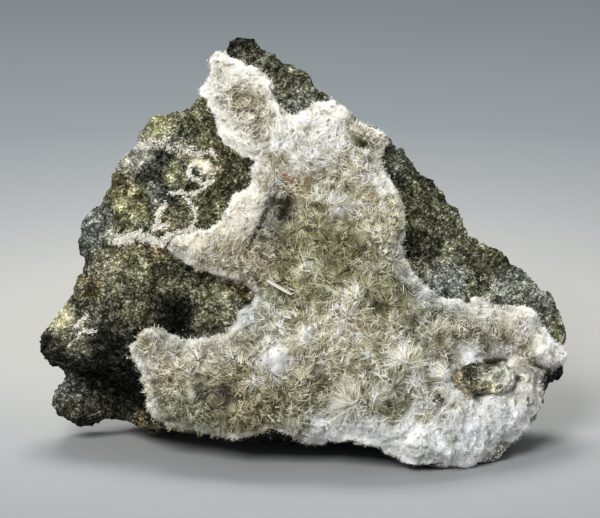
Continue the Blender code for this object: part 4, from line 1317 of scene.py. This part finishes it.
def strand_needles(bed, rim, chance):
    """The same for the strands that lie about."""
    places, normals = front_points(bed.data, STRANDS, chance)
    kept = deepening(places) < DEEPEST_STRAND
    kept &= bare_share(places) + fringe_share(places) < 0.5
    kept &= chance.uniform(size=STRANDS) > STRANDS_LOST_IN_WOOL * crust_tints(places)[1]
    places, normals = places[kept], normals[kept]
    tints, wool = crust_tints(places)
    least, fade = STRAND_EDGE
    inward = step_up((rim_distance(places, rim) - STRAND_BORDER) / fade)
    angle = STRAND_TURN * math.pi * noise_at(places, STRAND_PATCH, 14)
    for x, y, reach, way in STRAND_FLOWS:
        share = np.minimum(1.0, FLOW_STRENGTH * nearness(places, x, y, reach))
        angle = angle * (1.0 - share) + way * share
    angle += chance.normal(0.0, STRAND_STRAY, len(places))
    lift = chance.uniform(*STRAND_LIFT, len(places))
    ways = np.column_stack([np.cos(angle), np.sin(angle), lift])
    bundle, direction = in_bundles(ways, chance)
    count = len(bundle)
    length = chance.uniform(*STRAND_LENGTH, len(places)) * (least + (1.0 - least) * inward)
    length = length[bundle] * chance.uniform(*STRAND_EVENNESS, count)
    width = chance.uniform(*NEEDLE_WIDTH, count)
    calm = STRAND_CONTRAST * (1.0 - STRANDS_LOST_IN_WOOL * wool)
    light = (1.0 + calm * chance.uniform(-1.0, 1.0, len(places))) * NEEDLE_GAIN
    colour = (tints**NEEDLE_PALENESS * light[:, None])[bundle]
    start = (places + normals * chance.uniform(*STRAND_START, (len(places), 1)))[bundle]
    return start, direction, length, width, colour, shaded_side(normals)[bundle]


def fringe_needles(bed, chance):
    """The same for the fringe of strands that point away from the pocket."""
    tree = surface_tree(bed)
    turns = chance.uniform(*FRINGE_TURNS, FRINGE_BUNDLES)
    out = np.column_stack([np.cos(turns), np.sin(turns)])
    gaps = np.array(POCKET_HALF) + chance.uniform(*FRINGE_FEET, (FRINGE_BUNDLES, 1))
    feet = [front_at(tree, x, y) for x, y in np.array(POCKET_MIDDLE) + out * gaps]
    places, normals = (np.array(part) for part in zip(*feet))
    ways = np.column_stack([out, chance.uniform(*FRINGE_LIFT, FRINGE_BUNDLES)])
    ways += chance.normal(0.0, FRINGE_STRAY, ways.shape)
    bundle, direction = in_bundles(ways, chance)
    count = len(bundle)
    length = chance.uniform(*FRINGE_LENGTH, count)
    width = chance.uniform(*NEEDLE_WIDTH, count)
    colour = linear(FRINGE_COLOUR) * chance.uniform(*FRINGE_LIGHT, (FRINGE_BUNDLES, 1))[bundle]
    return places[bundle], direction, length, width, colour, shaded_side(normals)[bundle]


def fuzz_needles(bed, rim, chance):
    """The same for the short needles of the woolly parts."""
    places, normals = front_points(bed.data, FUZZ_TRIES, chance)
    tint, wool = crust_tints(places)
    inward = step_up(rim_distance(places, rim) / RIM_WIDTH)
    wool = 1.0 - inward * (1.0 - wool)
    kept = chance.uniform(size=len(places)) < FUZZ_KEPT + (1.0 - FUZZ_KEPT) * wool**2
    kept &= bare_share(places) < FUZZ_BAREST
    places, normals = places[kept], normals[kept]
    colours = whitened(tint, inward)[kept]
    count = len(places)
    direction = unit(around(normals, chance) + normals * FUZZ_UPRIGHT)
    length = chance.uniform(*FUZZ_LENGTH, count)
    width = chance.uniform(*FUZZ_WIDTH, count)
    light = chance.uniform(*FUZZ_LIGHT, (count, 1)) * FUZZ_GAIN
    start = places - normals * FUZZ_SINK
    return start, direction, length, width, colours * light, shaded_side(normals)


def ball_needles(bed, chance):
    """The same for the compact white balls."""
    tree = surface_tree(bed)
    parts = []
    for x, y, reach in WHITE_BALLS.values():
        place, normal = front_at(tree, x, y)
        count = int(BALL_NEEDLES * (reach / BALL_FULL_REACH) ** 2)
        normals = np.broadcast_to(normal, (count, 3))
        direction = around(normals, chance, BALL_LOW_LYING)
        length = reach * chance.uniform(*BALL_NEEDLE_LENGTH, count)
        outer = reach * chance.uniform(*BALL_NEEDLE_END, count)
        middle = place - normal * reach * BALL_CORE
        start = middle + direction * (outer - length)[:, None]
        outward = unit(direction + normals)
        direction = unit(direction + chance.normal(0.0, BALL_NEEDLE_STRAY, (count, 3)))
        width = chance.uniform(*BALL_NEEDLE_WIDTH, count)
        colour = linear(BALL_WHITE) * chance.uniform(*BALL_LIGHT, (count, 1))
        parts.append((start, direction, length, width, colour, outward))
    return tuple(np.concatenate(part) for part in zip(*parts))


def needle_mesh(name, start, direction, length, width, colour, outward, chance):
    """Slim pointed needles, each of two long faces that meet in a ridge on its outer side."""
    side = unit(np.cross(direction, unit(chance.normal(size=(len(start), 3)))))
    ridge = np.cross(direction, side)
    outer = np.sign(np.einsum("ij,ij->i", ridge, outward))[:, None]
    side, ridge = side * outer, ridge * outer
    half = (width / 2)[:, None]
    tip = start + direction * length[:, None]
    corners = np.stack([start - side * half, start + ridge * half, start + side * half, tip], axis=1)
    obj = add_many(name, corners, np.array([(0, 3, 1), (1, 3, 2)]))
    paint(obj.data, "needle_tint", np.repeat(np.clip(colour, 0.0, BRIGHTEST_NEEDLE), 4, axis=0))
    soft = outward + direction * SPRAY_ROUNDNESS
    edge = ridge * NEEDLE_ROUNDNESS
    aside = side * NEEDLE_ROUNDNESS
    leans = np.stack([soft + edge - aside, soft + edge, soft + edge + aside, soft], axis=1)
    obj.data.shade_smooth()
    obj.data.normals_split_custom_set_from_vertices(unit(leans.reshape(-1, 3)))
    return obj


def make_needles(bed, rim, material):
    """All sprays, strands, fuzz and balls, in one piece for each part of the crust."""
    chance = np.random.default_rng(NEEDLE_SEED)
    sprays = spread_sprays(bed, rim, chance)
    raise_balls(bed)
    tops = raise_domes(bed.data, sprays)
    paint_bed(bed.data, rim, tops)
    parts = [
        spray_needles(sprays, chance),
        strand_needles(bed, rim, chance),
        fringe_needles(bed, chance),
        fuzz_needles(bed, rim, chance),
        ball_needles(bed, chance),
    ]
    kinds = [np.concatenate(kind) for kind in zip(*parts)]
    halfway = kinds[0] + kinds[1] * kinds[2][:, None] / 2
    # Painted shade of the hollows and specks, the rust spots and the velvet patches, on the needles too
    kinds[4] = shaded_and_rusted(halfway, kinds[4]) * velvet(halfway, crust_tints(halfway)[1])
    for name, (low, high) in PIECE_BORDERS.items():
        here = (kinds[0][:, 1] >= low) & (kinds[0][:, 1] < high)
        obj = needle_mesh(name, *(kind[here] for kind in kinds), chance)
        stand_up(obj, None, material)


def lone_crystal_parts(start, end, width, height):
    """Corners and faces of a crystal like a grain of rice, with a groove along its top."""
    along = np.append(end - start, 0.0)
    side = np.cross(along / np.linalg.norm(along), (0.0, 0.0, 1.0))
    corners = []
    for part, share in CRYSTAL_SECTIONS:
        centre = np.append(start, height) + along * part
        for corner in range(CRYSTAL_CORNERS):
            angle = math.tau * corner / CRYSTAL_CORNERS
            reach = width / 2 * share * (GROOVE_SHARE if corner == GROOVE_CORNER else 1.0)
            out = side * math.cos(angle) + np.array((0.0, 0.0, math.sin(angle)))
            corners.append(centre + out * reach)
    last = len(corners) - CRYSTAL_CORNERS
    faces = [tuple(range(CRYSTAL_CORNERS - 1, -1, -1)), tuple(range(last, len(corners)))]
    for first in range(0, last, CRYSTAL_CORNERS):
        for corner in range(CRYSTAL_CORNERS):
            low = (first + corner, first + (corner + 1) % CRYSTAL_CORNERS)
            faces.append((*low, low[1] + CRYSTAL_CORNERS, low[0] + CRYSTAL_CORNERS))
    return corners, faces


def make_lone_crystals(bed, material):
    """The lone crystals, in one mesh."""
    tree = surface_tree(bed)
    all_corners, all_faces = [], []
    for start, end, width, lift in LONE_CRYSTALS:
        start, end = np.array(start), np.array(end)
        height = front_at(tree, *(start + end) / 2)[0][2] + lift
        corners, faces = lone_crystal_parts(start, end, width, height)
        first = len(all_corners)
        all_corners += [tuple(corner) for corner in corners]
        all_faces += [tuple(first + corner for corner in face) for face in faces]
    mesh = bpy.data.meshes.new("lone_crystals")
    mesh.from_pydata(all_corners, [], all_faces)
    obj = add_object("lone_crystals", mesh)
    paint(mesh, "needle_tint", np.tile(linear(LONE_CRYSTAL_WHITE), (len(all_corners), 1)))
    stand_up(obj, None, material)


def node(tree, kind, inputs=None, stops=None, **settings):
    """Adds a node with its settings, and sets or links its inputs."""
    made = tree.nodes.new("ShaderNode" + kind)
    for name, value in settings.items():
        setattr(made, name, value)
    for name, value in (inputs or {}).items():
        if isinstance(value, bpy.types.NodeSocket):
            tree.links.new(value, made.inputs[name])
        else:
            made.inputs[name].default_value = value
    if stops:
        ramp = made.color_ramp
        while len(ramp.elements) < len(stops):
            ramp.elements.new(0.5)
        for element, (position, code) in zip(ramp.elements, stops):
            element.position = position
            element.color = (*linear(code), 1.0)
    return made


def new_material(name):
    """An empty material, its node tree, and the place on the surface in metres."""
    material = bpy.data.materials.new(name)
    material.use_nodes = True
    tree = material.node_tree
    tree.nodes.clear()
    return material, tree, node(tree, "TexCoord").outputs["Object"]


def finish_material(tree, surface):
    """The shader with the given inputs, put on the surface."""
    shader = node(tree, "BsdfPrincipled", surface)
    node(tree, "OutputMaterial", {"Surface": shader.outputs["BSDF"]})


def basalt_material():
    """Broken basalt: black, olive and grey grains like salt and pepper, and hardly any gloss.

    Its grains are too fine to show, so they are drawn as coarse as they need to.
    """
    material, tree, where = new_material("broken basalt")
    place = node(tree, "Mapping", {"Vector": where, "Scale": (1 / MM,) * 3}).outputs["Vector"]
    tint = node(tree, "VertexColor", layer_name="stone_tint").outputs["Color"]
    layer = node(tree, "VertexColor", layer_name="vein_and_contrast").outputs["Color"]
    share = node(tree, "SeparateColor", {"Color": layer})
    grains = node(
        tree, "TexVoronoi", {"Vector": place, "Scale": 1 / GRAIN_SPACING, "Randomness": 1.0}
    )
    lone = node(tree, "SeparateColor", {"Color": grains.outputs["Color"]})
    rare = node(tree, "Math", {0: lone.outputs["Red"], 1: GRAIN_RARITY}, operation="POWER")
    low, high = GRAIN_LIGHT
    bright = node(
        tree, "MapRange", {"Value": rare.outputs["Value"], "To Min": low, "To Max": high}
    )
    clumps = node(tree, "TexNoise", {"Vector": place, "Scale": 1 / CLUMP_SIZE, "Detail": 3.0})
    low, high = CLUMP_LIGHT
    least, most = CLUMP_RANGE
    ends = {"From Min": least, "From Max": most, "To Min": low, "To Max": high}
    patch = node(tree, "MapRange", {"Value": clumps.outputs["Fac"], **ends})
    both = {0: bright.outputs["Result"], 1: patch.outputs["Result"]}
    gain = node(tree, "Math", both, operation="MULTIPLY")
    calm = {0: share.outputs["Green"], 2: 1.0, 3: gain.outputs["Value"]}
    calmed = node(tree, "Mix", calm, data_type="FLOAT")
    bare = node(tree, "VectorMath", {0: tint, "Scale": calmed.outputs[0]}, operation="SCALE")
    low, high = GRAIN_COLOUR
    colourful = node(
        tree, "MapRange", {"Value": lone.outputs["Red"], "To Min": low, "To Max": high}
    )
    tone = {"Color": bare.outputs["Vector"], "Saturation": colourful.outputs["Result"]}
    toned = node(tree, "HueSaturation", tone)
    fine = node(tree, "TexVoronoi", {"Vector": place, "Scale": 1 / VEIN_GRAIN_SPACING})
    of_fine = node(tree, "SeparateColor", {"Color": fine.outputs["Color"]})
    vein = {0: share.outputs["Red"], 1: of_fine.outputs["Green"]}
    over = node(tree, "Math", vein, operation="SUBTRACT").outputs["Value"]
    ends = {"From Min": 0.0, "From Max": VEIN_GRAIN_EDGE, "To Max": VEIN_COVER}
    white = node(tree, "MapRange", {"Value": over, **ends}).outputs["Result"]
    colours = {0: white, 6: toned.outputs["Color"], 7: (*linear(VEIN_WHITE), 1.0)}
    colour = node(tree, "Mix", colours, data_type="RGBA")
    steps = {"Vector": place, "Scale": 1 / BREAK_SIZE, "Detail": 4.0, "Roughness": 0.7}
    rough = node(tree, "TexNoise", steps).outputs["Fac"]
    steps = {"Height": rough, "Strength": 0.8, "Distance": BREAK_HEIGHT * MM}
    broken = node(tree, "Bump", steps).outputs["Normal"]
    bumps = {"Height": grains.outputs["Distance"], "Strength": 0.8, "Normal": broken}
    bump = node(tree, "Bump", {**bumps, "Distance": GRAIN_HEIGHT * MM}).outputs["Normal"]
    surface = {"Roughness": 0.8, "IOR": 1.55, "Specular IOR Level": 0.04, "Normal": bump}
    finish_material(tree, {"Base Color": colour.outputs[2], **surface})
    return material


def bed_material():
    """Compact mordenite: chalky and fibrous, white where it is broken."""
    material, tree, where = new_material("compact mordenite")
    place = node(tree, "Mapping", {"Vector": where, "Scale": (1 / MM,) * 3}).outputs["Vector"]
    tint = node(tree, "VertexColor", layer_name="crust_tint").outputs["Color"]
    mottle = node(tree, "TexNoise", {"Vector": place, "Scale": 1 / FIBRE_SIZE, "Detail": 4.0})
    low, high = BED_MOTTLING
    least, most = MOTTLING_RANGE
    ends = {"From Min": least, "From Max": most, "To Min": low, "To Max": high}
    shade = node(tree, "MapRange", {"Value": mottle.outputs["Fac"], **ends}).outputs["Result"]
    colour = node(tree, "Gamma", {"Color": tint, "Gamma": shade}).outputs["Color"]
    fibres = {"Height": mottle.outputs["Fac"], "Strength": 0.4, "Distance": FIBRE_HEIGHT * MM}
    bump = node(tree, "Bump", fibres).outputs["Normal"]
    finish_material(
        tree, {"Base Color": colour, "Roughness": 0.8, "IOR": 1.48, "Normal": bump}
    )
    return material


def needle_material():
    """Mordenite needles: colourless to white fibres that look silky together."""
    material, tree, _ = new_material("mordenite needles")
    tint = node(tree, "VertexColor", layer_name="needle_tint").outputs["Color"]
    finish_material(tree, {"Base Color": tint, "Roughness": 0.45, "IOR": 1.48})
    return material


def paper_material():
    """Matt paper, as under a tabletop photograph: no gloss, with a painted pool of light that is pale in
    the middle and grey around.
    """
    material, tree, where = new_material("matt paper")
    from_middle = {"Vector": where, "Location": [-x for x in PAINTED_LIGHT_MIDDLE] + [0.0]}
    away = node(tree, "Mapping", from_middle).outputs["Vector"]
    reach = node(tree, "VectorMath", {0: away}, operation="LENGTH").outputs["Value"]
    colour = node(tree, "ValToRGB", {"Fac": reach}, stops=FLOOR_PAINTED_LIGHT_COLOURS).outputs["Color"]
    finish_material(tree, {"Base Color": colour, "Roughness": 0.9})
    return material


def set_stage():
    """The plain floor, the lamps and the pale surroundings."""
    mesh = bpy.data.meshes.new("floor")
    corners = [(-1, -1, 0), (1, -1, 0), (1, 1, 0), (-1, 1, 0)]
    mesh.from_pydata([Vector(corner) * FLOOR_RADIUS for corner in corners], [], [(0, 1, 2, 3)])
    floor = add_object("floor", mesh)
    floor.data.materials.append(paper_material())
    for name, (place, size, watts) in LAMPS.items():
        lamp = bpy.data.lights.new(name, "AREA")
        lamp.size = size
        lamp.energy = watts
        holder = add_object(name, lamp)
        holder.location = place
        holder.rotation_euler = (-Vector(place)).to_track_quat("-Z", "Y").to_euler()
    world = bpy.data.worlds.new("room")
    bpy.context.scene.world = world
    world.use_nodes = True
    background = world.node_tree.nodes["Background"]
    background.inputs["Color"].default_value = (*linear(ROOM_COLOUR), 1.0)
    background.inputs["Strength"].default_value = ROOM_STRENGTH
    bpy.context.scene.view_settings.view_transform = "Standard"


def set_camera():
    """The camera at the photograph's viewing angle, square to the face."""
    up = (ORIGIN_PIXEL[1] - MIDDLE_PIXEL[1]) / PIXELS_PER_MM
    across = (MIDDLE_PIXEL[0] - ORIGIN_PIXEL[0]) / PIXELS_PER_MM
    middle = FACE_TO_WORLD @ Vector((across, up, 0.0))
    back = (FACE_TO_WORLD.to_3x3() @ Vector((0.0, 0.0, 1.0))).normalized()
    camera = bpy.data.cameras.new("camera")
    camera.sensor_width = SENSOR_WIDTH
    camera.lens = SENSOR_WIDTH * CAMERA_DISTANCE / MM * PIXELS_PER_MM / PICTURE_WIDTH
    camera.clip_end = FLOOR_RADIUS * 3
    holder = add_object("camera", camera)
    holder.location = middle + back * CAMERA_DISTANCE
    holder.rotation_euler = (-back).to_track_quat("-Z", "Y").to_euler()
    bpy.context.scene.camera = holder


set_camera()
set_stage()
needles = needle_material()
stone = make_stone()
crust_bed, crust_rim = make_bed()
make_grains(stone, crust_rim, needles)
make_needles(crust_bed, crust_rim, needles)
make_lone_crystals(crust_bed, needles)
stand_up(stone, "basalt_matrix", basalt_material())
stand_up(crust_bed, "mordenite_crust", bed_material())
